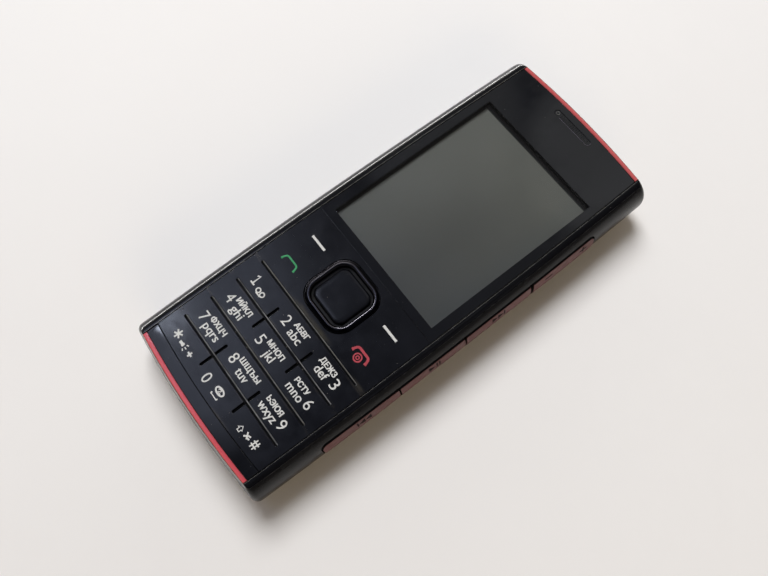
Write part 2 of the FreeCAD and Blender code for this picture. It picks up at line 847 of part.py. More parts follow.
def card_holder():
    """Metal reader for the subscriber card and the memory card, side by side."""
    readers = []
    for x, size in ((sim_x, sim_size), (memory_x, memory_size)):
        half = size[0] / 2 + card_gap + holder_wall
        low = card_layer_z - card_gap - holder_wall
        high = card_layer_z + size[2] + card_gap
        shell = box(x - half, x + half, card_holder_top_y - size[1] + 2, card_holder_top_y
                    + holder_wall, low, board_bottom_z)
        mouth = box(x - half + holder_wall, x + half - holder_wall,
                    card_holder_top_y - size[1] - 1, card_holder_top_y,
                    low + holder_wall, high)
        view = box(x - half + 1.2, x + half - 1.2, card_holder_top_y - size[1],
                   card_holder_top_y - 2, low - 1, low + holder_wall)
        readers.append(shell.cut(mouth).cut(view))
    bridge = box(sim_x, memory_x, card_holder_top_y - 1, card_holder_top_y,
                 card_layer_z + memory_size[2] + card_gap, board_bottom_z)
    return readers[0].fuse(readers[1]).fuse(bridge).removeSplitter()


def card(x, size, corner):
    """A card pushed home in its reader, one corner cut."""
    plate = box(x - size[0] / 2, x + size[0] / 2, card_holder_top_y - size[1] - seam,
                card_holder_top_y - seam, card_layer_z, card_layer_z + size[2])
    edge = [edge for edge in plate.Edges if edge.BoundBox.ZLength > size[2] / 2
            and edge.BoundBox.XMin > x and edge.BoundBox.YMin > card_holder_top_y - 1]
    return plate.makeChamfer(corner, edge)


def camera_module():
    """Camera block on the board with its lens barrel facing the back window."""
    half = camera_module_side / 2
    block = box(-half, half, camera_y - half, camera_y + half, camera_window_thickness + 1.6,
                board_bottom_z)
    barrel = Part.makeCylinder(camera_barrel_radius, 2.0,
                               Vector(0, camera_y, camera_window_thickness + 0.15))
    return block.fuse(barrel)


def camera_window():
    """Flush round window over the camera."""
    return Part.makeCylinder(camera_window_radius - window_gap, camera_window_thickness,
                             Vector(0, camera_y, 0))


def flash_lens():
    """Small clear lens of the flash."""
    half_x = flash_size[0] / 2
    half_y = flash_size[1] / 2
    return box(-half_x, half_x, flash_y - half_y, flash_y + half_y, 0, housing_wall - seam)


def loudspeaker(side):
    """One of the two loudspeakers behind the back grilles."""
    low = housing_wall + seam
    half_x = speaker_size[0] / 2
    half_y = speaker_size[1] / 2
    x = side * speaker_x
    block = box(x - half_x, x + half_x, speaker_y - half_y, speaker_y + half_y,
                low, low + speaker_size[2])
    return block.makeChamfer(speaker_corner, [edge for edge in block.Edges
                                              if edge.BoundBox.ZLength > 1])


def vibration_motor():
    """Sealed coin motor on the board."""
    return Part.makeCylinder(motor_radius, motor_thickness,
                             Vector(0, motor_y, board_bottom_z - motor_thickness))


def end_y(x):
    """Where the top end's surface lies at x, near its widest line."""
    return length / 2 - end_bow(x)


def headset_jack():
    """Round headset socket, its nose flush with the top end."""
    nose = end_y(jack_x + jack_radius) - seam
    barrel = cylinder_y(jack_radius, jack_x, jack_z, nose - jack_length, nose)
    return barrel.cut(cylinder_y(jack_bore_radius, jack_x, jack_z,
                                 nose - jack_length + housing_wall, nose + 1))


def charging_jack():
    """Small round charging socket with its centre pin."""
    nose = end_y(charger_x - charger_radius) - seam
    barrel = cylinder_y(charger_radius, charger_x, charger_z, nose - charger_length, nose)
    bore = cylinder_y(charger_bore_radius, charger_x, charger_z,
                      nose - charger_length + housing_wall, nose + 1)
    half = charger_pin_side / 2
    pin = box(charger_x - half, charger_x + half, nose - charger_length + housing_wall / 2,
              nose - housing_wall, charger_z - half, charger_z + half)
    return barrel.cut(bore).fuse(pin)


def usb_centre_z():
    """Middle height of the data socket, which hangs under the board."""
    return board_bottom_z - usb_height / 2


def usb_socket():
    """Data socket under the board: a flat shell with a tongue inside."""
    mouth_y = end_y(flap_half_width) - flap_thickness - 3 * seam
    z = usb_centre_z()
    half_height = usb_height / 2
    shell = box(-usb_half_width, usb_half_width, mouth_y - usb_depth, mouth_y,
                z - half_height, z + half_height)
    hollow = box(-usb_half_width + usb_wall, usb_half_width - usb_wall,
                 mouth_y - usb_depth + usb_wall, mouth_y + 1,
                 z - half_height + usb_wall, z + half_height - usb_wall)
    tongue = box(-usb_half_width + 1.2, usb_half_width - 1.2, mouth_y - usb_depth + usb_wall / 2,
                 mouth_y - 1, z + 0.1, z + 0.1 + usb_tongue)
    return shell.cut(hollow).fuse(tongue)


def flap_block(gap):
    """The data socket's cover, grown by a gap for its recess."""
    z = usb_centre_z()
    half = flap_height / 2 + gap
    y0 = end_y(flap_half_width) - flap_thickness - gap
    plan = Part.Face(rounded_rectangle(flap_half_width + gap, half, 1.0, 0, 0, 0))
    block = plan.extrude(Vector(0, 0, 4))
    block.rotate(Vector(0, 0, 0), Vector(1, 0, 0), -90)
    block.translate(Vector(0, y0, z))
    return block


def side_frame(whole):
    """Satin frame all round: side walls, end walls, the key strip's window and the sockets."""
    z_skirt = face_z - skirt_depth
    frame = whole.common(box(-big, big, -big, big, wide_z, face_z))
    frame = frame.cut(outline_prism(rail_half_width + seam, rail_half_length + seam,
                                    rail_corner_radius + seam, z_skirt - seam, face_z + 1))
    frame = frame.cut(outline_prism(frame_inner_half_width, frame_inner_half_length,
                                    frame_inner_corner_radius, wide_z - 1, z_skirt, False))
    end_block = whole.common(box(-end_block_half_width, end_block_half_width, end_block_y, big,
                                 end_block_z, wide_z))
    frame = frame.fuse(end_block)
    cuts = [strip_block(-strip_half_length, strip_half_length, 0.0, frame_inner_half_width - 1,
                        wide_z - 1)]
    cuts.append(cylinder_y(jack_radius + seam, jack_x, jack_z, end_block_y - 1, big))
    cuts.append(cylinder_y(charger_radius + seam, charger_x, charger_z, end_block_y - 1, big))
    z = usb_centre_z()
    cuts.append(box(-usb_half_width - seam, usb_half_width + seam, end_block_y - 1, big,
                    z - usb_height / 2 - seam, z + usb_height / 2 + seam))
    cuts.append(flap_block(key_gap / 2))
    hole = microphone_hole_side / 2
    hole_z = board_bottom_z - board_thickness
    cuts.append(box(microphone_x - hole, microphone_x + hole, -big,
                    -frame_inner_half_length + 1, hole_z - hole, hole_z + hole))
    cuts.append(box(-finger_notch_half_width, finger_notch_half_width, -big,
                    -end_y(finger_notch_half_width) + housing_wall / 2, wide_z - 1,
                    wide_z + finger_notch_height))
    for cut in cuts:
        frame = frame.cut(cut)
    return frame


def strip_block(y0, y1, gap, x0, z0):
    """The side key strip, or a piece of it, from x0 outwards: its two upper ends are round."""
    z1 = face_z - strip_top_depth - gap
    half_height = z1 - wide_z
    plan = rounded_rectangle(half_height, strip_half_length - gap, strip_corner_radius, 0, 0, 0)
    block = Part.Face(plan).extrude(Vector(0, 0, width))
    block.rotate(Vector(0, 0, 0), Vector(0, 1, 0), 90)
    block.translate(Vector(x0, 0, wide_z))
    return block.common(box(0, big, y0, y1, z0, thickness))


def side_key_spans():
    """Name, lower and upper end of each side key: a wider gap parts the volume rocker."""
    names = ("previous_key", "play_key", "next_key", "volume_rocker")
    splits = [share * strip_half_length for share in side_key_splits]
    starts = [y + side_key_divider / 2 for y in splits]
    starts[-1] = splits[-1] + rocker_divider / 2
    stops = [y - side_key_divider / 2 for y in splits]
    stops[-1] = splits[-1] - rocker_divider / 2
    starts.insert(0, -strip_half_length + side_key_gap)
    stops.append(strip_half_length - side_key_gap)
    return list(zip(names, starts, stops))


def side_keys():
    """Previous, play, next and volume keys that share the side window."""
    grown = body(-strip_proud)
    keys = {}
    for name, y0, y1 in side_key_spans():
        key = grown.common(strip_block(y0, y1, side_key_gap, side_key_back_x, wide_z + seam))
        keys[name] = key.common(box(0, width / 2, y0, y1, 0, thickness))
    return keys


def side_key_flex():
    """Flexible strip with one switch under each side key and two under the volume rocker."""
    z0 = wide_z + seam
    z1 = face_z - skirt_depth - seam
    flex = box(flex_x, flex_x + flex_thickness, -strip_half_length, strip_half_length, z0, z1)
    spans = side_key_spans()
    centres = [(y0 + y1) / 2 for name, y0, y1 in spans[:-1]]
    rocker_y0, rocker_y1 = spans[-1][1:]
    centres.append(rocker_y0 + (rocker_y1 - rocker_y0) / 4)
    centres.append(rocker_y1 - (rocker_y1 - rocker_y0) / 4)
    switches = [box(flex_x + flex_thickness, flex_x + flex_thickness + switch_height,
                    y - switch_length / 2, y + switch_length / 2, z0 + 0.4, z1 - 0.2)
                for y in centres]
    return flex.multiFuse(switches).removeSplitter()


def usb_cover(whole):
    """Small flap flush with the top end, over the data socket."""
    return whole.common(flap_block(0.0))


def rear_housing(whole):
    """Fixed back: the shell round the camera and the tray that holds the battery."""
    upper = box(-big, big, cover_top_y + seam, big, -1, shells_split_z)
    shell = whole.common(upper).cut(body(housing_wall))
    block_half_width = battery_half_width + card_gap + bay_wall
    bay_low = battery_bottom_y - card_gap - bay_wall
    bay_high = cover_top_y + bay_wall
    tray = box(-block_half_width, block_half_width, bay_low, bay_high,
               battery_base_z, bay_floor_z + bay_floor)
    tray = tray.cut(box(-battery_half_width - card_gap, battery_half_width + card_gap,
                        battery_bottom_y - card_gap, battery_top_y + card_gap,
                        -1, bay_floor_z))
    connector_room = connector_half_width + card_gap
    tray = tray.cut(box(-connector_room, connector_room, battery_top_y, cover_top_y - bay_wall,
                        -1, big))
    plate = outline_prism(frame_inner_half_width - 0.3, frame_inner_half_length - 0.3,
                          frame_inner_corner_radius, rear_plate_base_z, shells_split_z, False)
    plate = plate.common(box(-big, big, -big, bay_high, 0, big)).common(body(cover_wall + 0.2))
    plate = plate.cut(box(-block_half_width + 0.5, block_half_width - 0.5, bay_low + 0.5,
                          bay_high - 0.5, 0, big))
    plate = plate.cut(box(-antenna_half_width - card_gap, antenna_half_width + card_gap, -big,
                          antenna_top_y + card_gap, 0, big))
    housing = shell.fuse(plate).fuse(tray)
    for cut in rear_openings(block_half_width):
        housing = housing.cut(cut)
    return housing


def rear_openings(block_half_width):
    """Holes of the back: screws, cards, camera, flash, loudspeaker slots and sockets."""
    cuts = []
    for x, y in screw_places():
        cuts.append(Part.makeCylinder(screw_shank_radius + seam, 4 * bay_wall,
                                      Vector(x, y, rear_plate_base_z - 2 * bay_wall)))
    cuts.append(box(-block_half_width + bay_wall, block_half_width - bay_wall,
                    sim_window_bottom(), card_holder_top_y + 1, bay_floor_z - 0.5, big))
    cuts.append(Part.makeCylinder(camera_window_radius, camera_window_thickness,
                                  Vector(0, camera_y, 0)))
    half = camera_hole_side / 2
    cuts.append(box(-half, half, camera_y - half, camera_y + half, 0, housing_wall + 1))
    flash_x = flash_size[0] / 2 + seam
    flash_half_y = flash_size[1] / 2 + seam
    cuts.append(box(-flash_x, flash_x, flash_y - flash_half_y, flash_y + flash_half_y,
                    -1, housing_wall + 1))
    for side in (-1, 1):
        for index in range(grille_slot_count):
            x = side * speaker_x + (index - (grille_slot_count - 1) / 2) * grille_pitch
            cuts.append(straight_slot(grille_slot_size[0] / 2, grille_slot_size[1] / 2,
                                      x, speaker_y, -1, housing_wall + 1))
    cuts.append(box(-end_block_half_width - seam, end_block_half_width + seam,
                    end_block_y - seam, big, end_block_z - seam, big))
    return cuts


def rear_cover(whole):
    """Battery cover: a thin curved tray that lifts straight off the back."""
    lower = box(-big, big, -big, cover_top_y, -1, shells_split_z)
    return whole.common(lower).cut(body(cover_wall))


def housing_screws():
    """Screws that clamp the back, the board and the front cover."""
    screws = []
    for x, y in screw_places():
        head_z = rear_plate_base_z - screw_head_height
        head = Part.makeCylinder(screw_head_radius, screw_head_height, Vector(x, y, head_z))
        shank = Part.makeCylinder(screw_shank_radius - 0.02,
                                  face_z - screw_tip_depth - rear_plate_base_z,
                                  Vector(x, y, rear_plate_base_z))
        screws.append(head.fuse(shank))
    return Part.makeCompound(screws)


def phone():
    """All pieces of the phone by name."""
    whole = body()
    sheet = key_sheet()
    pieces = {
        "front_cover": front_cover(whole),
        "face_panel": face_panel(),
        "display_window": display_window(),
        "top_trim": end_trim(1),
        "bottom_trim": end_trim(-1),
        "bottom_strip": bottom_strip(),
        "nav_plate": nav_plate(sheet),
        "nav_rocker": nav_rocker(),
        "nav_ring": nav_ring(),
        "centre_key": centre_key(),
        "earpiece_mesh": earpiece_mesh(),
        "earpiece_speaker": earpiece_speaker(),
        "display_glass": display_glass(),
        "display_frame": display_frame(),
        "keypad_mat": keypad_mat(),
        "dome_sheet": dome_sheet(),
        "circuit_board": circuit_board(),
        "shield_cans": shield_cans(),
        "antenna_carrier": antenna_carrier(),
        "microphone": microphone(),
        "battery": battery(),
        "battery_connector": battery_connector(),
        "card_holder": card_holder(),
        "sim_card": card(sim_x, sim_size, sim_corner_cut),
        "memory_card": card(memory_x, memory_size, memory_corner_cut),
        "camera_module": camera_module(),
        "camera_window": camera_window(),
        "flash_lens": flash_lens(),
        "loudspeaker_left": loudspeaker(-1),
        "loudspeaker_right": loudspeaker(1),
        "vibration_motor": vibration_motor(),
        "headset_jack": headset_jack(),
        "charging_jack": charging_jack(),
        "usb_socket": usb_socket(),
        "usb_cover": usb_cover(whole),
        "side_key_flex": side_key_flex(),
        "side_frame": side_frame(whole),
        "rear_housing": rear_housing(whole),
        "rear_cover": rear_cover(whole),
        "housing_screws": housing_screws(),
    }
    pieces.update(function_keys(sheet))
    pieces.update(number_keys(sheet))
    pieces.update(side_keys())
    return pieces


os.makedirs("parts", exist_ok=True)
for name, shape in phone().items():
    shape.exportStep(os.path.join("parts", name + ".step"))
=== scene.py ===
import math

import bmesh
import bpy
from mathutils import Matrix, Vector
from mathutils.geometry import delaunay_2d_cdt


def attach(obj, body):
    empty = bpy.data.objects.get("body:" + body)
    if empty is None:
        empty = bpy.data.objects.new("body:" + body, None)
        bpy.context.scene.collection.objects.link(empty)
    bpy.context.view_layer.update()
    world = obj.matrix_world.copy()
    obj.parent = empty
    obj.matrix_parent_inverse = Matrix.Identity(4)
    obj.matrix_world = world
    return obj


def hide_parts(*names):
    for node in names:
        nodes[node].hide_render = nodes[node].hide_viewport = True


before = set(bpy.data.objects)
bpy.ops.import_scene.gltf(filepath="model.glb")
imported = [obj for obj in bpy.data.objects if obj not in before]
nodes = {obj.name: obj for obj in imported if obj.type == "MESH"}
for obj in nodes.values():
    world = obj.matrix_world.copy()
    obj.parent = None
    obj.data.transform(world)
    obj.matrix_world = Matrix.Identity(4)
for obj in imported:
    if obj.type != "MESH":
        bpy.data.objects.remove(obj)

# The looks of a candybar phone. Sizes are in millimetres until a piece is finished, +Z out of
# the face, +Y to the earpiece end, +X to the side with the music and volume keys.

MM = 0.001
scene = bpy.context.scene
scene.view_settings.view_transform = "Standard"
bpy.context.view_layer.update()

# The photograph's width and focal length in pixels, and the camera's sensor, place and turn
PHOTO_WIDTH = 768
FOCAL_PIXELS = 616.4522
SENSOR = 36.0
EYE = (34.37, -29.87, 137.85)
EYE_RIGHT = (0.61031906, 0.7921379, -0.00530932)
EYE_UP = (-0.75722835, 0.58536431, 0.2897479)

# Half the table top's width in metres
TABLE_HALF = 0.55

# Body
FACE_Z = 12.9
WIDE_Z = 5.9
HALF_WIDTH = 23.5
HALF_LENGTH = 55.5
FACE_HALF_WIDTH = 19.65
FACE_HALF_LENGTH = 53.9
FACE_CORNER = 0.8
WIDE_CORNER = 1.3
BACK_HALF_WIDTH = 18.5
BACK_HALF_LENGTH = 50.0
BACK_CORNER = 3.5
SIDE_BOW_RADIUS = 2080.0
END_BOW_RADIUS = 225.0
SEAM = 0.05

# Reach of a cutting shape past the sides, past the ends, above the face and below the back,
# and the heights between which one goes through the face's plates or through the front cover
OUT = 30
FAR = 60
OVER = 14
UNDER = -1
THROUGH_FACE = (10, OVER)
THROUGH_COVER = (10, 12)

# Face: an outline is its half width, half length and corner radius, a span x0, x1, y0, y1
RAIL = (20.85, 54.5, 1.4)
POCKET = (19.5, 53.95, 0.3)
PANEL_HALF_WIDTH = 19.3
PANEL_BOTTOM_Y = -7.0
POCKET_FLOOR_Z = 11.6
COVER_BOTTOM_Z = 9.9
COVER_SEAT_Z = 9.75
KEYPAD_HOLE = (-18.1, 18.1, -48.0, -9.4)
EARPIECE_HOLE = (-6.6, 6.6, 49.0, 52.2)
CAP_BACK_Z = 11.85
WINDOW = (-16.9, 16.9, -4.8, 39.9)
PANE_GAP = 0.04
DISPLAY_SHEET = (-17.4, 17.4, -5.6, 40.8)
LIT_LEFT_X = -16.5
LIT_TOP_Y = 38.9
EARPIECE_Y = 50.4
EARPIECE_HALF_HEIGHT = 0.75
TRIM_HALF_WIDTH = 18.6
TRIM_INNER_Y = 52.9
TRIM_OUTER_Y = 53.9
STRIP_INNER_Y = 50.2
KEY_SHEET_END = 50.1
SLOT_FIRST_Y = -24.3
SLOT_PITCH = 6.5
SLOT_HALF_LENGTH = 16.9
SLOT_HALF_WIDTH = 0.38
ARM_X = 6.0
ARM_HALF_LENGTH = 3.4
ARM_HALF_WIDTH = 0.33
FUNCTION_X = 8.2
FUNCTION_SPLIT_Y = -15.6
HALF_HAIRLINE = 0.005
MAT_TOP_Z = 11.5
NAV_Y = -15.4
RING_OPENING = (7.18, 7.08, 4.4)
RING_OUTER = (6.95, 6.85, 4.2)
RING_INNER = (5.6, 5.4, 2.8)
RING_WIDTH = 1.35

# Sides and back: the socket bay is the part of the side frame that reaches below the seam
FRAME_BOTTOM_Z = 2.2
FRAME_HOLLOW = (21.4, 53.9, 2.5)
SOCKET_BAY_HALF_WIDTH = 17.0
SOCKET_BAY_Y = 51.8
STRIP_HALF_LENGTH = 37.6
STRIP_TOP_Z = 10.6
SIDE_GAP = 0.4
SIDE_SPANS = (("previous_key", -37.3, -17.84), ("play_key", -17.5, -0.17),
              ("next_key", 0.17, 18.42), ("volume_rocker", 19.18, 37.3))
STRIP_CORNER = 1.6
STRIP_PROUD = 0.15
KEY_BACK_X = 21.55
SIGN_X = 24
SIGN_Z = 8.85
SIGN_HALF_DEPTH = 2
FLAP_HALF_WIDTH = 4.8
FLAP_Z = 7.4
FLAP_HALF_HEIGHT = 1.8
FLAP_GAP = 0.07
HEADSET_JACK = (12.3, 0, 5.5)
HEADSET_BORE = 1.8
HEADSET_RADIUS = 2.6
CHARGING_JACK = (-12.0, 0, 5.6)
CHARGING_RADIUS = 2.0
COVER_TOP_Y = 22.0
CAMERA_WINDOW = (0, 40, 0)
CAMERA_RECESS_RADIUS = 4.2
CAMERA_HOLE_RADIUS = 3.4
FLASH = (-1.65, 1.65, 31.45, 33.75)
FLASH_GAP = 0.07
GRILLE = (12.3, 33.5)
GRILLE_PITCH = 2.4
GRILLE_SLOT = (0.5, 4.0)

# Legends: a capital's and a small x's height as shares of the letters' size, how far letters
# stand off the key, how thick a stroke is, and the figures' size, first line and line spacing
CAPITAL_SHARE = 0.682
X_SHARE = 0.449
PRINT_RISE = 0.012
STROKE_THICKNESS = 0.03
FIGURE = (2.4, 1.48)
FIGURE_Y = -27.65
FIGURE_STEP = 6.55


# Shaping

def outline_face(half_x, half_y, radius, z, corner=6, sides=(16, 10), bowed=True,
                 centre=(0.0, 0.0)):
    """Flat face with round corners. Its sides and ends are cut into pieces, as many as the two
    numbers say, and bow outwards as the body's do."""
    work = bmesh.new()
    made = bmesh.ops.create_grid(work, x_segments=1, y_segments=1, size=1)["verts"]
    bmesh.ops.scale(work, vec=(half_x, half_y, 1), verts=made)
    bmesh.ops.bevel(work, geom=made, offset=radius, offset_type="OFFSET", segments=corner,
                    profile=0.5, affect="VERTICES", material=-1)
    upright = [edge for edge in work.edges
               if abs(edge.verts[0].co.x - edge.verts[1].co.x) < 1e-5]
    level = [edge for edge in work.edges
             if abs(edge.verts[0].co.y - edge.verts[1].co.y) < 1e-5]
    if bowed:
        bmesh.ops.bisect_edges(work, edges=upright, cuts=sides[0])
        bmesh.ops.bisect_edges(work, edges=level, cuts=sides[1])
        for vert in work.verts:
            x, y = vert.co.x, vert.co.y
            vert.co.x = x - x / half_x * y * y / (2 * SIDE_BOW_RADIUS)
            vert.co.y = y - y / half_y * x * x / (2 * END_BOW_RADIUS)
    bmesh.ops.translate(work, vec=(centre[0], centre[1], z), verts=work.verts)
    return work


def stacked(levels, closed=False, **plan):
    """Solid, or a closed ring, bridged through flat outlines (half x, half y, radius, z)."""
    work = merged(*[outline_face(*level, **plan) for level in levels])
    faces = sorted(work.faces, key=lambda face: face.index)
    rims = [list(face.edges) for face in faces]
    bmesh.ops.delete(work, geom=faces if closed else faces[1:-1], context="FACES_ONLY")
    pairs = list(zip(rims, rims[1:]))
    if closed:
        pairs.append((rims[-1], rims[0]))
    for lower, upper in pairs:
        bmesh.ops.bridge_loops(work, edges=lower + upper)
    bmesh.ops.recalc_face_normals(work, faces=work.faces)
    return work


def body_level(z, grow=0.0):
    """Half sizes and corner radius of the body at height z."""
    if z >= WIDE_Z:
        depth = FACE_Z - z
        swing = math.sqrt(max(0.0, 1 - (1 - depth / (FACE_Z - WIDE_Z)) ** 2))
        lean = math.sin(math.pi / 2 * depth / (FACE_Z - WIDE_Z))
        start = (FACE_HALF_WIDTH, FACE_HALF_LENGTH, FACE_CORNER)
    else:
        swing = lean = math.sqrt(max(0.0, 1 - ((WIDE_Z - z) / WIDE_Z) ** 2))
        start = (BACK_HALF_WIDTH, BACK_HALF_LENGTH, BACK_CORNER)
    return (start[0] + (HALF_WIDTH - start[0]) * swing + grow,
            start[1] + (HALF_LENGTH - start[1]) * lean + grow,
            start[2] + (WIDE_CORNER - start[2]) * swing + max(grow, -0.6), z)


def body_solid(low, high, steps=14, grow=0.0):
    """Body between two heights, with its levels closer together where it curves most."""
    angles = [math.pi / 2 * step / steps for step in range(steps + 1)]
    back = [WIDE_Z * (1 - math.cos(angle)) for angle in angles]
    front = [WIDE_Z + (FACE_Z - WIDE_Z) * math.sin(angle) for angle in angles]
    between = [z for z in back + front if low + 0.02 < z < high - 0.02]
    unique = [low]
    for z in between + [high]:
        if z - unique[-1] > 0.02:
            unique.append(z)
    return stacked([body_level(z, grow) for z in unique])


def outline_block(half_x, half_y, radius, low, high, **plan):
    """Upright block with a bowed, round-cornered outline."""
    return stacked([(half_x, half_y, radius, low), (half_x, half_y, radius, high)], **plan)


def around(x, y, half_x, half_y):
    """Span x0, x1, y0, y1 with its middle at a point."""
    return x - half_x, x + half_x, y - half_y, y + half_y


def drawn_in(span, gap):
    """Span x0, x1, y0, y1 made smaller by a gap on all sides."""
    x0, x1, y0, y1 = span
    return x0 + gap, x1 - gap, y0 + gap, y1 - gap


def block(x0, x1, y0, y1, z0, z1, corner=0.0, along=None, segments=4):
    """Block between two corners, its edges along one axis (or all) rounded by corner."""
    work = bmesh.new()
    bmesh.ops.create_cube(work, size=1)
    bmesh.ops.scale(work, vec=(x1 - x0, y1 - y0, z1 - z0), verts=work.verts)
    if corner:
        edges = list(work.edges)
        if along is not None:
            edges = [edge for edge in edges if abs((edge.verts[0].co - edge.verts[1].co)
                                                   .normalized()[along]) > 0.9]
        bmesh.ops.bevel(work, geom=edges, offset=corner, offset_type="OFFSET",
                        segments=segments, profile=0.5, affect="EDGES", material=-1)
    middle = ((x0 + x1) / 2, (y0 + y1) / 2, (z0 + z1) / 2)
    bmesh.ops.translate(work, vec=middle, verts=work.verts)
    return work


def turned(profile, axis="Z", centre=(0, 0, 0), steps=40):
    """Round piece: the profile of (radius, height) points spun about an axis, Z or Y."""
    work = bmesh.new()
    verts = [work.verts.new((radius, 0, height)) for radius, height in profile]
    edges = [work.edges.new(pair) for pair in zip(verts, verts[1:])]
    bmesh.ops.spin(work, geom=verts + edges, cent=(0, 0, 0), axis=(0, 0, 1), dvec=(0, 0, 0),
                   angle=2 * math.pi, steps=steps, use_merge=True, use_duplicate=False)
    bmesh.ops.remove_doubles(work, verts=work.verts, dist=1e-4)
    bmesh.ops.recalc_face_normals(work, faces=work.faces)
    if axis == "Y":
        bmesh.ops.rotate(work, verts=work.verts, cent=(0, 0, 0),
                         matrix=Matrix.Rotation(-math.pi / 2, 3, "X"))
    bmesh.ops.translate(work, vec=centre, verts=work.verts)
    return work


def rod(radius, low, high, axis="Z", centre=(0, 0, 0), steps=40):
    """Closed cylinder between two heights along an axis."""
    return turned([(0, low), (radius, low), (radius, high), (0, high)], axis, centre, steps)


def thickened(work, height):
    """Raises a copy of flat faces straight up and closes the sides."""
    raised = bmesh.ops.extrude_face_region(work, geom=work.faces[:])["geom"]
    top = [item for item in raised if isinstance(item, bmesh.types.BMVert)]
    bmesh.ops.translate(work, vec=(0, 0, height), verts=top)
    bmesh.ops.recalc_face_normals(work, faces=work.faces)
    return work


def placed(work):
    """Object in millimetres that holds a worked mesh for a moment."""
    mesh = bpy.data.meshes.new("work")
    work.to_mesh(mesh)
    work.free()
    item = bpy.data.objects.new("work", mesh)
    scene.collection.objects.link(item)
    return item


def evaluated(item):
    """Mesh of an object after its modifiers, or of a curve."""
    bpy.context.view_layer.update()
    graph = bpy.context.evaluated_depsgraph_get()
    return bpy.data.meshes.new_from_object(item.evaluated_get(graph))


def combined(base, others, operation="DIFFERENCE"):
    """Base after each other mesh is cut from it, joined to it or kept in common with it."""
    item = placed(base)
    tools = [placed(other) for other in others]
    for tool in tools:
        step = item.modifiers.new("carve", "BOOLEAN")
        step.operation = operation
        step.solver = "EXACT"
        step.object = tool
    mesh = evaluated(item)
    result = bmesh.new()
    result.from_mesh(mesh)
    bpy.data.meshes.remove(mesh)
    for thing in [item] + tools:
        old = thing.data
        bpy.data.objects.remove(thing)
        bpy.data.meshes.remove(old)
    bmesh.ops.remove_doubles(result, verts=result.verts, dist=0.002)
    bmesh.ops.dissolve_degenerate(result, edges=result.edges, dist=0.001)
    return result


def merged(*works):
    """One mesh that holds several."""
    whole = bmesh.new()
    for work in works:
        mesh = bpy.data.meshes.new("part")
        work.to_mesh(mesh)
        work.free()
        whole.from_mesh(mesh)
        bpy.data.meshes.remove(mesh)
    whole.faces.index_update()
    return whole


def node_copy(name):
    """Copy of a CAD node's mesh in millimetres, its loose triangles merged."""
    work = bmesh.new()
    work.from_mesh(nodes[name].data)
    bmesh.ops.scale(work, vec=(1 / MM,) * 3, verts=work.verts)
    bmesh.ops.remove_doubles(work, verts=work.verts, dist=1e-3)
    bmesh.ops.dissolve_limit(work, angle_limit=math.radians(1), verts=work.verts,
                             edges=work.edges)
    return work


def softened(work, width, segments=2, angle=32, where=None):
    """Rounds the sharp edges of a mesh, or those that pass a test of their middle."""
    chosen = []
    for edge in work.edges:
        if len(edge.link_faces) != 2 or edge.calc_face_angle(0) < math.radians(angle):
            continue
        middle = (edge.verts[0].co + edge.verts[1].co) / 2
        if where is None or where(middle):
            chosen.append(edge)
    bmesh.ops.bevel(work, geom=chosen, offset=width, offset_type="OFFSET", segments=segments,
                    profile=0.5, affect="EDGES", clamp_overlap=True, material=-1)
    return work


def finished(work, name, body, material, replaces=(), smooth=35):
    """Turns a worked mesh into a piece that sits at the origin and rides on its body."""
    bmesh.ops.scale(work, vec=(MM,) * 3, verts=work.verts)
    mesh = bpy.data.meshes.new(name)
    work.to_mesh(mesh)
    work.free()
    for face in mesh.polygons:
        face.use_smooth = True
    mesh.set_sharp_from_angle(angle=math.radians(smooth))
    mesh.materials.append(material)
    piece = bpy.data.objects.new(name, mesh)
    scene.collection.objects.link(piece)
    level = piece.modifiers.new("even shading", "WEIGHTED_NORMAL")
    level.keep_sharp = True
    level.weight = 100
    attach(piece, body)
    if replaces:
        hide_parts(*replaces)
    return piece


# Finishes

class Nodes:
    """Short ways to add shader nodes to a tree and to link them."""

    def __init__(self, tree):
        self.tree = tree

    def node(self, kind, **settings):
        item = self.tree.nodes.new(kind)
        for key, value in settings.items():
            setattr(item, key, value)
        return item

    def link(self, source, target):
        """Links an output to an input, or sets the input to a plain number or colour."""
        if isinstance(source, bpy.types.NodeSocket):
            self.tree.links.new(source, target)
        else:
            target.default_value = source

    def math(self, operation, first, second=0.0):
        item = self.node("ShaderNodeMath", operation=operation)
        self.link(first, item.inputs[0])
        self.link(second, item.inputs[1])
        return item.outputs[0]

    def product(self, first, second):
        return self.math("MULTIPLY", first, second)

    def between(self, value, low, high, start=0.0, end=1.0, **settings):
        """Value carried from one range to another and held inside it."""
        item = self.node("ShaderNodeMapRange", **settings)
        for key, number in (("From Min", low), ("From Max", high), ("To Min", start),
                            ("To Max", end)):
            item.inputs[key].default_value = number
        self.link(value, item.inputs["Value"])
        return item.outputs["Result"]

    def mixed(self, kind, share, first, second):
        """Colour or number between two others."""
        item = self.node("ShaderNodeMix", data_type=kind)
        self.link(share, item.inputs["Factor"])
        self.link(first, item.inputs["A"])
        self.link(second, item.inputs["B"])
        return item.outputs["Result"]


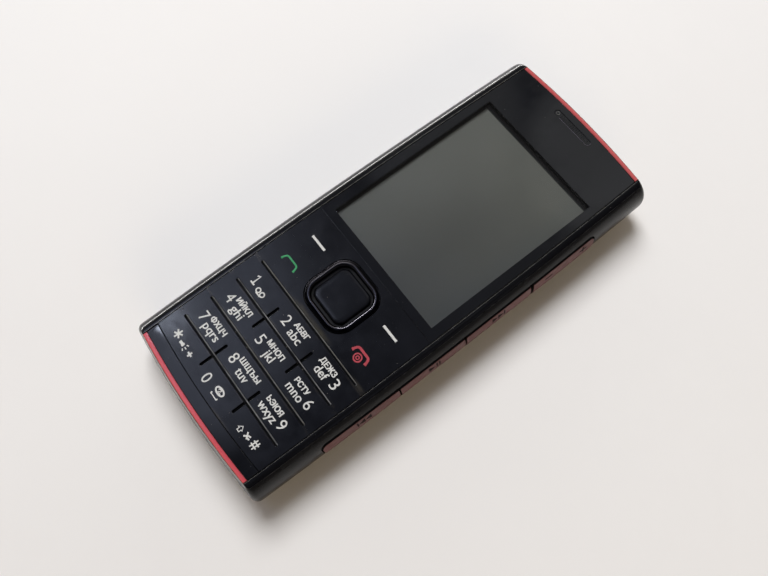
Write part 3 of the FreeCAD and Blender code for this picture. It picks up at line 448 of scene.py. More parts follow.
class Finish(Nodes):
    """A material's nodes, built up one effect at a time."""

    def __init__(self, name, colour, roughness, metallic=0.0, coat=0.0, coat_roughness=0.06,
                 alpha=1.0, specular=0.5):
        self.material = bpy.data.materials.new(name)
        self.material.use_nodes = True
        super().__init__(self.material.node_tree)
        self.shader = self.tree.nodes["Principled BSDF"]
        for key, number in (("Metallic", metallic), ("Coat Weight", coat), ("Alpha", alpha),
                            ("Coat Roughness", coat_roughness),
                            ("Specular IOR Level", specular)):
            self.shader.inputs[key].default_value = number
        self.coordinates = self.node("ShaderNodeTexCoord")
        self.coords = self.coordinates.outputs["Object"]
        self.colour = (*colour, 1)
        self.roughness = roughness
        self.normal = None

    def axis(self, name):
        """One coordinate of the surface in metres."""
        split = self.node("ShaderNodeSeparateXYZ")
        self.link(self.coords, split.inputs[0])
        return split.outputs[name]

    def noise(self, per_mm, detail=4, roughness=0.6, stretch=(1, 1, 1), seed=0.0):
        """Noise with so many features to the millimetre."""
        mapping = self.node("ShaderNodeMapping")
        mapping.inputs["Scale"].default_value = stretch
        mapping.inputs["Location"].default_value = (seed, seed * 0.7, seed * 0.3)
        self.link(self.coords, mapping.inputs["Vector"])
        noise = self.node("ShaderNodeTexNoise")
        noise.inputs["Scale"].default_value = per_mm / MM
        noise.inputs["Detail"].default_value = detail
        noise.inputs["Roughness"].default_value = roughness
        self.link(mapping.outputs[0], noise.inputs["Vector"])
        return noise.outputs["Fac"]

    def away_from(self, name, place):
        """Distance in metres from a place in millimetres along one axis."""
        return self.math("ABSOLUTE", self.math("SUBTRACT", self.axis(name), place * MM))

    def paint(self, share, colour):
        """Lays a colour over the present one where share is 1."""
        self.colour = self.mixed("RGBA", share, self.colour, (*colour, 1))

    def polish(self, share, roughness):
        """Carries the roughness towards another where share is 1."""
        self.roughness = self.mixed("FLOAT", share, self.roughness, roughness)

    def mottle(self, per_mm, colour, amount=1.0, seed=0.0, stretch=(1, 1, 1)):
        """Cloudy change of colour."""
        cloud = self.noise(per_mm, stretch=stretch, seed=seed)
        self.paint(self.between(cloud, 0.35, 0.7, 0, amount), colour)

    def smudges(self, per_mm, roughness, seed=3.0, stretch=(1, 1, 1), low=0.42, high=0.68):
        """Handled patches with another roughness."""
        patches = self.noise(per_mm, stretch=stretch, seed=seed)
        self.polish(self.between(patches, low, high), roughness)

    def grain(self, per_mm, depth, detail=2.0, stretch=(1, 1, 1), seed=7.0):
        """Fine relief of so many millimetres' depth."""
        bump = self.node("ShaderNodeBump")
        bump.inputs["Distance"].default_value = depth * MM
        relief = self.noise(per_mm, detail, stretch=stretch, seed=seed)
        self.link(relief, bump.inputs["Height"])
        if self.normal is not None:
            self.link(self.normal, bump.inputs["Normal"])
        self.normal = bump.outputs["Normal"]

    def specks(self, per_mm, size, share, colour, seed=1.0):
        """Scattered dots: size and share are parts of a cell."""
        mapping = self.node("ShaderNodeMapping")
        mapping.inputs["Location"].default_value = (seed * 0.013, seed * 0.007, 0)
        self.link(self.coords, mapping.inputs["Vector"])
        cells = self.node("ShaderNodeTexVoronoi")
        cells.inputs["Scale"].default_value = per_mm / MM
        self.link(mapping.outputs[0], cells.inputs["Vector"])
        dot = self.between(cells.outputs["Distance"], size, size * 0.6)
        pick = self.node("ShaderNodeSeparateColor")
        self.link(cells.outputs["Color"], pick.inputs[0])
        chosen = self.between(pick.outputs[0], share, share * 0.9)
        mask = self.product(dot, chosen)
        self.paint(mask, colour)
        self.polish(mask, 0.7)

    def past_slot(self):
        """Distance above the nearest slot between key rows, in slot pitches."""
        rows = self.math("DIVIDE", self.math("SUBTRACT", self.axis("Y"), SLOT_FIRST_Y * MM),
                         SLOT_PITCH * MM)
        return self.math("SUBTRACT", self.math("FRACT", self.math("ADD", rows, 20.5)), 0.5)

    def slot_dust(self, reach, colour):
        """Dust held along the slots between the key rows, out to a reach on both sides."""
        near = self.between(self.math("ABSOLUTE", self.past_slot()), reach / SLOT_PITCH,
                            0.3 / SLOT_PITCH)
        keys_only = self.between(self.axis("Y"), (SLOT_FIRST_Y + 1.0) * MM,
                                 (SLOT_FIRST_Y + 0.9) * MM)
        patches = self.between(self.noise(0.16, 4, 0.65, (1, 2.5, 1), 1.7), 0.48, 0.66)
        self.paint(self.product(self.product(near, keys_only), patches), colour)
        # The widest smear lies over the middle of the first slot.
        above = self.product(self.between(self.axis("Y"), (SLOT_FIRST_Y + 1.5) * MM,
                                          (SLOT_FIRST_Y + 0.5) * MM),
                             self.between(self.axis("Y"), (SLOT_FIRST_Y - 0.3) * MM,
                                          (SLOT_FIRST_Y - 0.1) * MM))
        smear = self.product(above, self.between(self.away_from("X", 0.5), 7.0 * MM, 3.5 * MM))
        streaks = self.between(self.noise(0.5, 5, 0.7, (0.6, 1.5, 1), 2.7), 0.3, 0.6, 0, 0.9)
        self.paint(self.product(smear, streaks), (0.045, 0.040, 0.027))

    def wear(self, radius, colour, amount, roughness, below=None, patchy=(0.35, 0.65),
             inside=None):
        """Rubbed edges: where the surface turns within a radius, if asked only below a height
        or inside a half width."""
        rounded = self.node("ShaderNodeBevel", samples=4)
        rounded.inputs["Radius"].default_value = radius * MM
        flat = self.node("ShaderNodeNewGeometry")
        turn = self.node("ShaderNodeVectorMath", operation="DOT_PRODUCT")
        self.link(rounded.outputs[0], turn.inputs[0])
        self.link(flat.outputs["Normal"], turn.inputs[1])
        edge = self.between(turn.outputs["Value"], 0.985, 0.9, 0, amount)
        rubbed = self.product(edge, self.between(self.noise(0.9, seed=5.0), *patchy))
        if below is not None:
            level = self.between(self.axis("Z"), below * MM, (below - 0.01) * MM)
            rubbed = self.product(rubbed, level)
        if inside is not None:
            near = self.between(self.away_from("X", 0), (inside + 0.05) * MM, inside * MM)
            rubbed = self.product(rubbed, near)
        self.paint(rubbed, colour)
        self.polish(rubbed, roughness)

    def done(self):
        self.link(self.colour, self.shader.inputs["Base Color"])
        self.link(self.roughness, self.shader.inputs["Roughness"])
        if self.normal is not None:
            self.link(self.normal, self.shader.inputs["Normal"])
        return self.material


def gloss_panel():
    look = Finish("gloss black panel", (0.0044, 0.0047, 0.0063), 0.06)
    look.mottle(0.08, (0.007, 0.0074, 0.01), 0.7)
    look.smudges(0.16, 0.17, 2.0, (1, 0.6, 1))
    look.specks(0.7, 0.06, 0.10, (0.10, 0.095, 0.09), 2.0)
    look.specks(1.3, 0.07, 0.10, (0.05, 0.05, 0.055), 5.0)
    look.grain(0.2, 0.002, seed=4.0)
    look.wear(0.1, (0.10, 0.10, 0.10), 0.7, 0.3, below=12.89)
    return look.done()


def rail_black():
    look = Finish("gloss black rail", (0.004, 0.004, 0.005), 0.08)
    look.mottle(0.1, (0.007, 0.007, 0.009), 0.6)
    look.smudges(0.2, 0.2, 5.0, (1, 0.3, 1))
    look.specks(0.8, 0.08, 0.06, (0.08, 0.08, 0.08), 3.0)
    # The light inner edge is partly rubbed paint and partly a painted highlight.
    look.wear(0.18, (0.24, 0.24, 0.22), 1.0, 0.4, patchy=(0.25, 0.55), inside=19.8)
    return look.done()


def key_sheet_black():
    look = Finish("satin black key sheet", (0.0042, 0.0045, 0.0062), 0.13)
    look.mottle(0.12, (0.007, 0.0074, 0.0104), 0.8, 1.5)
    look.smudges(0.22, 0.24, 2.5)
    look.slot_dust(0.85, (0.034, 0.031, 0.026))
    look.specks(0.8, 0.07, 0.14, (0.13, 0.12, 0.11), 1.0)
    look.specks(1.6, 0.08, 0.12, (0.05, 0.05, 0.052), 4.0)
    look.grain(0.2, 0.003, seed=2.0)
    look.grain(9.0, 0.0009, seed=8.0)
    look.wear(0.16, (0.09, 0.09, 0.092), 0.8, 0.4, below=12.89)
    return look.done()


def satin_frame():
    look = Finish("satin dark grey frame", (0.005, 0.005, 0.0058), 0.2, specular=0.17)
    look.mottle(0.10, (0.008, 0.008, 0.009), 0.7, 2.2, (1, 0.5, 1))
    look.smudges(0.18, 0.32, 6.0, (1, 0.5, 1))
    look.grain(14.0, 0.0022, seed=5.0)
    look.specks(0.9, 0.10, 0.06, (0.10, 0.095, 0.09), 6.0)
    look.wear(0.25, (0.075, 0.075, 0.08), 0.5, 0.3)
    return look.done()


def trim_red():
    look = Finish("gloss red trim", (0.50, 0.082, 0.085), 0.2, coat=0.5, coat_roughness=0.12)
    look.mottle(0.15, (0.43, 0.068, 0.068), 0.7, 1.1)
    # The bar at the lower end is painted pinker and brighter.
    look.paint(look.between(look.axis("Y"), 0, -1 * MM, 0, 0.7), (0.60, 0.07, 0.10))
    # Painted darker red towards the face, and a painted highlight of lighter red along the outer
    # edge.
    bow = look.math("DIVIDE", look.product(look.axis("X"), look.axis("X")),
                    2 * END_BOW_RADIUS * MM)
    reach = look.math("ADD", look.math("ABSOLUTE", look.axis("Y")), bow)
    look.paint(look.between(reach, TRIM_INNER_Y * MM, (TRIM_INNER_Y + 0.6) * MM, 0.6, 0),
               (0.34, 0.035, 0.04))
    look.paint(look.between(reach, (TRIM_OUTER_Y - 0.45) * MM, TRIM_OUTER_Y * MM, 0, 0.7),
               (0.60, 0.13, 0.10))
    look.smudges(0.35, 0.34, 4.0)
    look.specks(1.2, 0.10, 0.08, (0.12, 0.02, 0.02), 3.0)
    look.grain(0.6, 0.003, seed=3.0)
    look.wear(0.15, (0.72, 0.22, 0.22), 0.6, 0.4)
    return look.done()


def side_key_red():
    look = Finish("dull red side keys", (0.128, 0.050, 0.051), 0.42, specular=0.22)
    look.mottle(0.14, (0.10, 0.042, 0.042), 0.8, 3.1, (1, 0.5, 1))
    look.smudges(0.2, 0.55, 4.4)
    look.grain(12.0, 0.003, seed=6.0)
    look.wear(0.25, (0.22, 0.10, 0.10), 0.5, 0.3)
    # Painted shade darkens the walls that line the gaps round the keys.
    split = look.node("ShaderNodeSeparateXYZ")
    look.link(look.coordinates.outputs["Normal"], split.inputs[0])
    look.paint(look.between(split.outputs["X"], 0.7, 0.45), (0.004, 0.003, 0.003))
    return look.done()


def ring_chrome():
    look = Finish("black chrome ring", (0.022, 0.022, 0.027), 0.13, metallic=1.0)
    look.mottle(0.2, (0.034, 0.032, 0.038), 0.6, 2.0)
    # A painted highlight makes the crest a lighter line.
    look.paint(look.between(look.axis("Z"), 13.2 * MM, 13.27 * MM), (0.15, 0.145, 0.17))
    look.smudges(0.5, 0.2, 3.0)
    look.grain(0.8, 0.002, seed=2.0)
    return look.done()


def dark_plastic():
    look = Finish("fine matt black plastic", (0.012, 0.012, 0.0125), 0.5)
    look.mottle(0.3, (0.02, 0.02, 0.021), 0.7)
    look.smudges(0.5, 0.62, 2.0)
    look.grain(9.0, 0.004, seed=3.0)
    return look.done()


def back_plastic():
    look = Finish("soft matt back", (0.017, 0.017, 0.018), 0.5)
    look.mottle(0.06, (0.024, 0.024, 0.026), 0.7, 1.3)
    look.smudges(0.09, 0.38, 4.0, low=0.5, high=0.7)
    look.specks(0.6, 0.10, 0.10, (0.09, 0.088, 0.085), 2.0)
    look.grain(7.0, 0.006, 3.0, seed=3.0)
    look.wear(0.3, (0.05, 0.05, 0.052), 0.6, 0.36)
    return look.done()


def display_glass_grey():
    look = Finish("switched off display", (0.12, 0.125, 0.112), 0.3, coat=0.4,
                  coat_roughness=0.05)
    # Painted reflection: darker and bluer towards the lower end.
    look.paint(look.between(look.axis("Y"), 34 * MM, -1 * MM), (0.068, 0.074, 0.078))
    look.mottle(0.03, (0.078, 0.082, 0.076), 0.6, 1.0)
    # Painted reflection: lighter towards the left.
    look.paint(look.between(look.axis("X"), 4 * MM, -17 * MM, 0, 0.4), (0.17, 0.18, 0.165))
    # Painted shade darkens the display along its left and top edges, where the window's edge
    # shades it; it also stands for the black border printed on the window's back.
    for name, start, end in (("X", LIT_LEFT_X + 0.15, LIT_LEFT_X - 0.15),
                             ("Y", LIT_TOP_Y - 0.1, LIT_TOP_Y + 0.1)):
        look.paint(look.between(look.axis(name), start * MM, end * MM), (0.006, 0.006, 0.007))
    look.grain(26.0, 0.0006, seed=2.0)
    return look.done()


def clear_window():
    look = Finish("clear window", (0.03, 0.03, 0.03), 0.04, alpha=0.1)
    look.smudges(0.12, 0.1, 2.0)
    look.specks(0.5, 0.05, 0.16, (0.6, 0.6, 0.58), 3.0)
    look.grain(0.1, 0.002, seed=4.0)
    return look.done()


def dark_window():
    look = Finish("tinted camera window", (0.006, 0.006, 0.009), 0.05, coat=1.0,
                  coat_roughness=0.02)
    look.mottle(0.2, (0.010, 0.009, 0.016), 0.8)
    look.smudges(0.3, 0.12, 2.0)
    look.grain(0.3, 0.001, seed=2.0)
    return look.done()


def sheet_steel():
    look = Finish("plain sheet steel", (0.46, 0.46, 0.44), 0.34, metallic=1.0)
    look.mottle(0.2, (0.36, 0.36, 0.35), 0.6)
    look.smudges(0.3, 0.48, 2.0)
    look.grain(2.0, 0.003, 3.0, (1, 0.08, 1), 3.0)
    return look.done()


def plating(name, colour, second, roughness, dull, per_mm):
    """Thin metal plating with clouds and dull patches, so many to the millimetre."""
    look = Finish(name, colour, roughness, metallic=1.0)
    look.mottle(per_mm, second, 0.6)
    look.smudges(1.5 * per_mm, dull, 3.0)
    look.grain(3.0, 0.001, seed=2.0)
    return look.done()


def rubber():
    look = Finish("grey silicone rubber", (0.018, 0.017, 0.016), 0.6)
    look.mottle(0.25, (0.045, 0.041, 0.034), 0.9, 2.0)
    look.specks(0.9, 0.2, 0.25, (0.10, 0.09, 0.07), 3.0)
    look.grain(3.0, 0.012, 4.0, seed=3.0)
    return look.done()


def dusty_ridge_with_painted_highlight():
    look = Finish("dusty slot ridge with painted highlight", (0.006, 0.006, 0.0065), 0.4, specular=0.2)
    # A painted highlight lightens the ridge's upper flank, the lower one stays black.
    offset = look.past_slot()
    flank = look.product(look.between(offset, 0.10 / SLOT_PITCH, 0.15 / SLOT_PITCH),
                         look.between(offset, 0.32 / SLOT_PITCH, 0.28 / SLOT_PITCH))
    uneven = look.between(look.noise(0.35, seed=6.0), 0.3, 0.6, 0.3, 1.0)
    look.paint(look.product(flank, uneven), (0.21, 0.21, 0.215))
    # The first and the third slot hold more dust than the others.
    for y in (SLOT_FIRST_Y, SLOT_FIRST_Y - 2 * SLOT_PITCH):
        near = look.product(look.between(look.away_from("Y", y), 1.2 * MM, 1.0 * MM), flank)
        dust = look.product(near, look.between(look.noise(0.5, 5, 0.7, seed=2.0), 0.3, 0.62))
        look.paint(look.product(dust, 0.6), (0.10, 0.09, 0.07))
        look.polish(dust, 0.9)
    look.specks(1.2, 0.25, 0.2, (0.10, 0.095, 0.08), 2.0)
    look.grain(2.5, 0.02, 4.0, seed=4.0)
    return look.done()


def legend_print(name, colour, second, specular=0.5):
    """Printed paint of the legends, its colour broken up by a second one."""
    look = Finish(name, colour, 0.5, specular=specular)
    look.mottle(0.9, second, 0.7, 1.0)
    look.smudges(0.8, 0.6, 2.0)
    look.grain(3.0, 0.002, seed=3.0)
    return look.done()


def film(name, colour, second, roughness=0.4):
    """Smooth sheet or wrap inside the phone."""
    look = Finish(name, colour, roughness)
    look.mottle(0.15, second, 0.8, 1.0)
    look.smudges(0.3, roughness + 0.15, 2.0)
    look.grain(5.0, 0.003, seed=3.0)
    return look.done()


def board_green():
    look = Finish("green solder mask", (0.012, 0.075, 0.03), 0.28)
    look.mottle(0.5, (0.02, 0.12, 0.045), 0.8, 1.0)
    look.specks(0.8, 0.18, 0.3, (0.5, 0.4, 0.14), 2.0)
    look.grain(1.5, 0.01, 3.0, seed=3.0)
    return look.done()


GLOSS = gloss_panel()
RAIL_BLACK = rail_black()
KEYS = key_sheet_black()
SATIN = satin_frame()
RED = trim_red()
SIDE_RED = side_key_red()
CHROME = ring_chrome()
BLACK = dark_plastic()
BACK = back_plastic()
DISPLAY = display_glass_grey()
CLEAR = clear_window()
TINTED = dark_window()
STEEL = sheet_steel()
NICKEL = plating("nickel plate", (0.5, 0.48, 0.43), (0.4, 0.37, 0.32), 0.22, 0.36, 0.4)
GOLD = plating("gold plated contacts", (0.75, 0.5, 0.16), (0.62, 0.38, 0.12), 0.24, 0.4, 0.8)
RUBBER = rubber()
RIDGE = dusty_ridge_with_painted_highlight()
WHITE_PRINT = legend_print("white legend print", (0.62, 0.62, 0.6), (0.5, 0.5, 0.49))
GREEN_PRINT = legend_print("green legend print", (0.05, 0.30, 0.12), (0.02, 0.15, 0.06))
RED_PRINT = legend_print("red legend print", (0.42, 0.06, 0.08), (0.30, 0.045, 0.055))
DARK_PRINT = legend_print("worn dark legend print", (0.010, 0.004, 0.005),
                          (0.018, 0.008, 0.009), 0.05)
# Painted highlight along the earpiece slot's lip.
LIP_HIGHLIGHT = legend_print("painted lip highlight", (0.07, 0.064, 0.08), (0.035, 0.032, 0.04), 0.3)
FILM = film("white polyester film", (0.62, 0.61, 0.58), (0.52, 0.51, 0.48))
CARD = film("plain white card", (0.66, 0.66, 0.64), (0.6, 0.6, 0.58))
AMBER = film("amber flexible strip", (0.11, 0.048, 0.014), (0.08, 0.035, 0.010))
BATTERY = film("grey battery wrap", (0.13, 0.13, 0.135), (0.1, 0.1, 0.105), 0.36)
BOARD = board_green()


# Camera, light and floor

def camera():
    """Camera at the photograph's viewpoint."""
    data = bpy.data.cameras.new("camera")
    data.sensor_width = SENSOR
    data.lens = FOCAL_PIXELS / PHOTO_WIDTH * SENSOR
    data.clip_start = 0.01
    data.clip_end = 10
    item = bpy.data.objects.new("camera", data)
    right, up = Vector(EYE_RIGHT), Vector(EYE_UP)
    turn = Matrix((right, up, right.cross(up))).transposed()
    item.matrix_world = Matrix.Translation(Vector(EYE) * MM) @ turn.to_4x4()
    scene.collection.objects.link(item)
    scene.camera = item


def lamp(name, place, target, size, power, colour, diffuse=True, mirrored=True):
    """Soft area lamp that faces a point and lights the surfaces, shows in them, or both."""
    data = bpy.data.lights.new(name, "AREA")
    data.shape = "RECTANGLE"
    data.size, data.size_y = size
    data.energy = power
    data.color = colour
    item = bpy.data.objects.new(name, data)
    direction = Vector(target) - Vector(place)
    item.matrix_world = (Matrix.Translation(place)
                         @ direction.to_track_quat("-Z", "Y").to_matrix().to_4x4())
    item.visible_diffuse = diffuse
    item.visible_glossy = mirrored
    scene.collection.objects.link(item)


def lamps():
    """Light from above, a bright window low on the left, and warm light on the far side."""
    lamp("high light", (-0.52, 0.25, 0.82), (0, 0.02, 0), (0.46, 0.46), 10.3,
         (0.985, 0.99, 1.0), mirrored=False)
    lamp("window", (-1.0, 0.1, 0.07), (0, 0, 0), (1.6, 0.12), 20.0, (1.0, 0.99, 0.98),
         diffuse=False)
    lamp("ceiling glow", (-0.411, -0.173, 0.93), (0, 0, 0), (0.025, 0.042), 0.06,
         (0.76, 0.83, 1.0), diffuse=False)
    lamp("warm fill", (0.7, -0.25, 0.3), (0, 0, 0), (0.6, 0.3), 2.0, (1.0, 0.78, 0.50),
         mirrored=False)


def surroundings():
    """Pale room: bright and warm round the horizon, most of all on the left, and dim and
    uneven overhead, so that the gloss face reflects little."""
    world = bpy.data.worlds.new("pale room")
    world.use_nodes = True
    scene.world = world
    room = Nodes(world.node_tree)
    direction = room.node("ShaderNodeTexCoord").outputs["Generated"]
    split = room.node("ShaderNodeSeparateXYZ")
    room.link(direction, split.inputs[0])

    def ramp(value, low, high, start, end):
        return room.between(value, low, high, start, end, interpolation_type="SMOOTHSTEP")

    clouds = room.node("ShaderNodeTexNoise")
    clouds.inputs["Scale"].default_value = 3.4
    clouds.inputs["Detail"].default_value = 1.0
    room.link(direction, clouds.inputs["Vector"])
    strength = room.product(ramp(split.outputs["Z"], 0.06, 0.5, 1.05, 0.035),
                            ramp(split.outputs["X"], -0.7, 0.5, 1.6, 0.2))
    strength = room.product(strength, ramp(split.outputs["Y"], -0.6, 0.6, 0.65, 1.35))
    strength = room.math("ADD", strength, ramp(clouds.outputs["Fac"], 0.5, 0.68, 0, 0.12))
    # Brighter patches of the ceiling, each round a direction.
    for towards, low, high, amount in (((-0.41, -0.13, 0.90), 0.963, 0.989, 1.1),
                                       ((-0.16, 0.55, 0.82), 0.989, 0.9945, 0.5),
                                       ((-0.37, 0.38, 0.85), 0.988, 0.995, 0.3)):
        near = room.node("ShaderNodeVectorMath", operation="DOT_PRODUCT")
        near.inputs[1].default_value = Vector(towards).normalized()
        room.link(direction, near.inputs[0])
        strength = room.math("ADD", strength,
                             ramp(near.outputs["Value"], low, high, 0, amount))
    sky = room.mixed("RGBA", ramp(split.outputs["Y"], 0.0, 0.4, 0, 1), (0.70, 0.77, 1.0, 1),
                     (0.96, 0.97, 0.96, 1))
    tint = room.mixed("RGBA", ramp(split.outputs["Z"], 0.2, 0.7, 0, 1), (1.0, 0.93, 0.86, 1),
                      sky)
    light = room.tree.nodes["Background"]
    room.link(tint, light.inputs["Color"])
    room.link(strength, light.inputs["Strength"])
    seen = room.node("ShaderNodeBackground")
    seen.inputs["Color"].default_value = (0.9, 0.89, 0.88, 1)
    mix = room.node("ShaderNodeMixShader")
    room.link(room.node("ShaderNodeLightPath").outputs["Is Camera Ray"], mix.inputs[0])
    room.link(light.outputs[0], mix.inputs[1])
    room.link(seen.outputs[0], mix.inputs[2])
    room.link(mix.outputs[0], room.tree.nodes["World Output"].inputs["Surface"])


def floor():
    """Plain pale table top."""
    work = bmesh.new()
    bmesh.ops.create_grid(work, x_segments=8, y_segments=8, size=TABLE_HALF)
    mesh = bpy.data.meshes.new("table_top")
    work.to_mesh(mesh)
    work.free()
    item = bpy.data.objects.new("table_top", mesh)
    scene.collection.objects.link(item)
    look = Finish("pale table top", (0.83, 0.815, 0.80), 0.62, specular=0.0)
    look.mottle(0.004, (0.79, 0.77, 0.755), 0.9)
    look.mottle(0.15, (0.81, 0.795, 0.78), 0.5, 2.0)
    look.specks(0.02, 0.012, 0.25, (0.55, 0.52, 0.49), 1.0)
    look.grain(0.8, 0.01, 3.0)
    mesh.materials.append(look.done())


# Front

def near_face(point):
    """Whether a point lies along the upper edges of the face's plates."""
    return point.z > FACE_Z - 0.1


def front_cover():
    """Gloss rails and end lips round the face."""
    cover = body_solid(COVER_BOTTOM_Z, FACE_Z, 16)
    cover = combined(cover, [outline_block(*RAIL, 9.0, OVER)], "INTERSECT")
    pocket = outline_block(*POCKET, POCKET_FLOOR_Z, OVER)
    skirt = outline_block(RAIL[0] - 1.0, RAIL[1] - 1.0, RAIL[2], 9.0, 10.7)
    holes = [block(*span, *THROUGH_COVER)
             for span in (DISPLAY_SHEET, EARPIECE_HOLE, KEYPAD_HOLE)]
    cover = combined(cover, [pocket, skirt] + holes)
    softened(cover, 0.17, 3,
             where=lambda p: p.z > 12.6 and abs(p.x) < 19.62 and abs(p.y) < 53.99)
    finished(cover, "front_cover_shell", "housing", RAIL_BLACK, ["front_cover"])


def side_frame():
    """Satin frame with the key strip's window and the sockets' openings."""
    hollow = [outline_block(RAIL[0] + SEAM, RAIL[1] + SEAM, RAIL[2], COVER_SEAT_Z, OVER),
              outline_block(*FRAME_HOLLOW, 1.0, COVER_SEAT_Z + 0.05),
              block(-OUT, OUT, -FAR, SOCKET_BAY_Y, 0.5, WIDE_Z),
              block(-OUT, -SOCKET_BAY_HALF_WIDTH, 50, FAR, 0.5, WIDE_Z),
              block(SOCKET_BAY_HALF_WIDTH, OUT, 50, FAR, 0.5, WIDE_Z)]
    frame_ring = combined(body_solid(FRAME_BOTTOM_Z, FACE_Z, 16), hollow)
    strip_window = block(21.0, OUT, -STRIP_HALF_LENGTH, STRIP_HALF_LENGTH, 4.0,
                         STRIP_TOP_Z + 0.2, STRIP_CORNER, 0, 6)
    flap_hole = block(-FLAP_HALF_WIDTH - FLAP_GAP, FLAP_HALF_WIDTH + FLAP_GAP, 50, FAR,
                      FLAP_Z - FLAP_HALF_HEIGHT - FLAP_GAP,
                      FLAP_Z + FLAP_HALF_HEIGHT + FLAP_GAP, 0.5, 1)
    microphone_hole = block(-7.45, -6.55, -FAR, -52.0, 8.25, 9.15, 0.2, 1)
    lanyard_slot = block(-4.5, 4.5, -FAR, -54.6, 5.0, 6.8, 0.7, 1)
    frame_ring = combined(frame_ring, [
        strip_window, flap_hole, rod(HEADSET_RADIUS + SEAM, 40, FAR, "Y", HEADSET_JACK),
        rod(CHARGING_RADIUS + SEAM, 40, FAR, "Y", CHARGING_JACK), microphone_hole,
        lanyard_slot])

    def outside(point):
        return abs(point.x) > 21.6 or abs(point.y) > 54.2

    softened(frame_ring, 0.09, angle=34, where=outside)
    finished(frame_ring, "side_frame_shell", "housing", SATIN, ["side_frame"])


def face_panel():
    """Gloss panel with the window's opening and the earpiece slot."""
    panel = outline_block(PANEL_HALF_WIDTH, TRIM_INNER_Y - SEAM, 0.15, POCKET_FLOOR_Z, FACE_Z)
    earpiece_slot = block(*around(0, EARPIECE_Y, 5.7, EARPIECE_HALF_HEIGHT), *THROUGH_FACE,
                          0.74, 2, 8)
    panel = combined(panel, [block(-OUT, OUT, -FAR, PANEL_BOTTOM_Y, *THROUGH_FACE),
                             block(*WINDOW, *THROUGH_FACE), earpiece_slot])
    softened(panel, 0.1, where=near_face)
    finished(panel, "face_panel_plate", "housing", GLOSS, ["face_panel"])
    pane = block(*drawn_in(WINDOW, PANE_GAP), 11.95, FACE_Z, 0.06, None, 2)
    finished(pane, "display_window_pane", "housing", CLEAR,
             ["display_window"])


def display():
    """Switched off display under the window."""
    glass = block(*DISPLAY_SHEET, 10.55, 11.45, 0.1, None, 1)
    finished(glass, "display_sheet", "housing", DISPLAY, ["display_glass"])


def earpiece():
    """Fine dark grid just under the earpiece slot, the light sensor at its end, and the lit
    line along the slot's lip."""
    grid = block(*around(0, EARPIECE_Y, 6.4, 1.6), 12.0, 12.3, 0.1, None, 1)
    step = block(*around(0, EARPIECE_Y, 5.6, 0.66), 12.1, 12.76, 0.64, 2, 8)
    holes = [rod(0.13, 11, 13, "Z", (x * 0.52, EARPIECE_Y + y * 0.38, 0), 8)
             for x in range(-7, 10) for y in (-1, 0, 1)]
    grid = combined(combined(grid, [step], "UNION"), [merged(*holes)])
    finished(grid, "earpiece_grid", "housing", GLOSS, ["earpiece_mesh"])
    dot = turned([(0, 12.72), (0.3, 12.72), (0.33, 12.84), (0.47, 12.85), (0.5, 12.78),
                  (0.5, 12.35), (0, 12.35)], "Z", (-4.85, EARPIECE_Y, 0), 24)
    finished(dot, "earpiece_sensor", "housing", STEEL)
    # A painted highlight laid as a thin stroke along the slot's lower lip and its right end.
    lip = [(-3.9, EARPIECE_Y - 0.74)] + arc_points(4.95, EARPIECE_Y, 0.74, -90, 50)
    finished(stroke(lip, 0.12), "earpiece_lip_highlight", "housing", LIP_HIGHLIGHT)


def end_band(inner, outer, low, high, end):
    """Bar across the phone that follows the bowed end."""
    work = bmesh.new()
    bmesh.ops.create_grid(work, x_segments=24, y_segments=1, size=1)
    bmesh.ops.scale(work, vec=(TRIM_HALF_WIDTH, (outer - inner) / 2, 1), verts=work.verts)
    for vert in work.verts:
        vert.co.y += (inner + outer) / 2 - vert.co.x ** 2 / (2 * END_BOW_RADIUS)
        vert.co.y *= end
        vert.co.z = low
    return thickened(work, high - low)


def end_pieces():
    """Red bars at both ends of the face and the plain strip above the lower one."""
    def outer_edge(point):
        past = abs(point.y) + point.x ** 2 / (2 * END_BOW_RADIUS)
        return near_face(point) and past > 53.4 and abs(point.x) < TRIM_HALF_WIDTH - 0.1

    for end, name in ((1, "top_trim"), (-1, "bottom_trim")):
        bar = end_band(TRIM_INNER_Y, TRIM_OUTER_Y, POCKET_FLOOR_Z, FACE_Z, end)
        softened(bar, 0.32, 4, where=outer_edge)
        softened(bar, 0.08, angle=40, where=lambda p: p.z > 12.4)
        finished(bar, name + "_bar", "housing", RED, [name])
    strip = end_band(STRIP_INNER_Y, TRIM_INNER_Y - SEAM, POCKET_FLOOR_Z, FACE_Z, -1)
    softened(strip, 0.1, where=near_face)
    finished(strip, "bottom_strip_plate", "housing", GLOSS, ["bottom_strip"])


# Keys

def slot_y(index):
    """Middle of a long slot, counted from the top one."""
    return SLOT_FIRST_Y - index * SLOT_PITCH


def cross_slots():
    """Middles of the short slots that cross the long ones."""
    return [(side * ARM_X, slot_y(index)) for index in (1, 3) for side in (-1, 1)]


def key_sheet():
    """The whole sheet of keys with its slots, crosses and the ring's opening."""
    sheet = outline_block(PANEL_HALF_WIDTH, KEY_SHEET_END, 0.15, CAP_BACK_Z, FACE_Z)
    cuts = [block(-OUT, OUT, PANEL_BOTTOM_Y - SEAM, FAR, *THROUGH_FACE)]
    for index in range(4):
        cuts.append(block(*around(0, slot_y(index), SLOT_HALF_LENGTH, SLOT_HALF_WIDTH),
                          *THROUGH_FACE, SLOT_HALF_WIDTH - 0.01, 2, 6))
    for x, y in cross_slots():
        cuts.append(block(*around(x, y, ARM_HALF_WIDTH, ARM_HALF_LENGTH), *THROUGH_FACE,
                          ARM_HALF_WIDTH - 0.01, 2, 6))
    cuts.append(outline_block(*RING_OPENING, *THROUGH_FACE, bowed=False, corner=10,
                              centre=(0, NAV_Y)))
    return softened(combined(sheet, cuts), 0.14, 3, where=near_face)


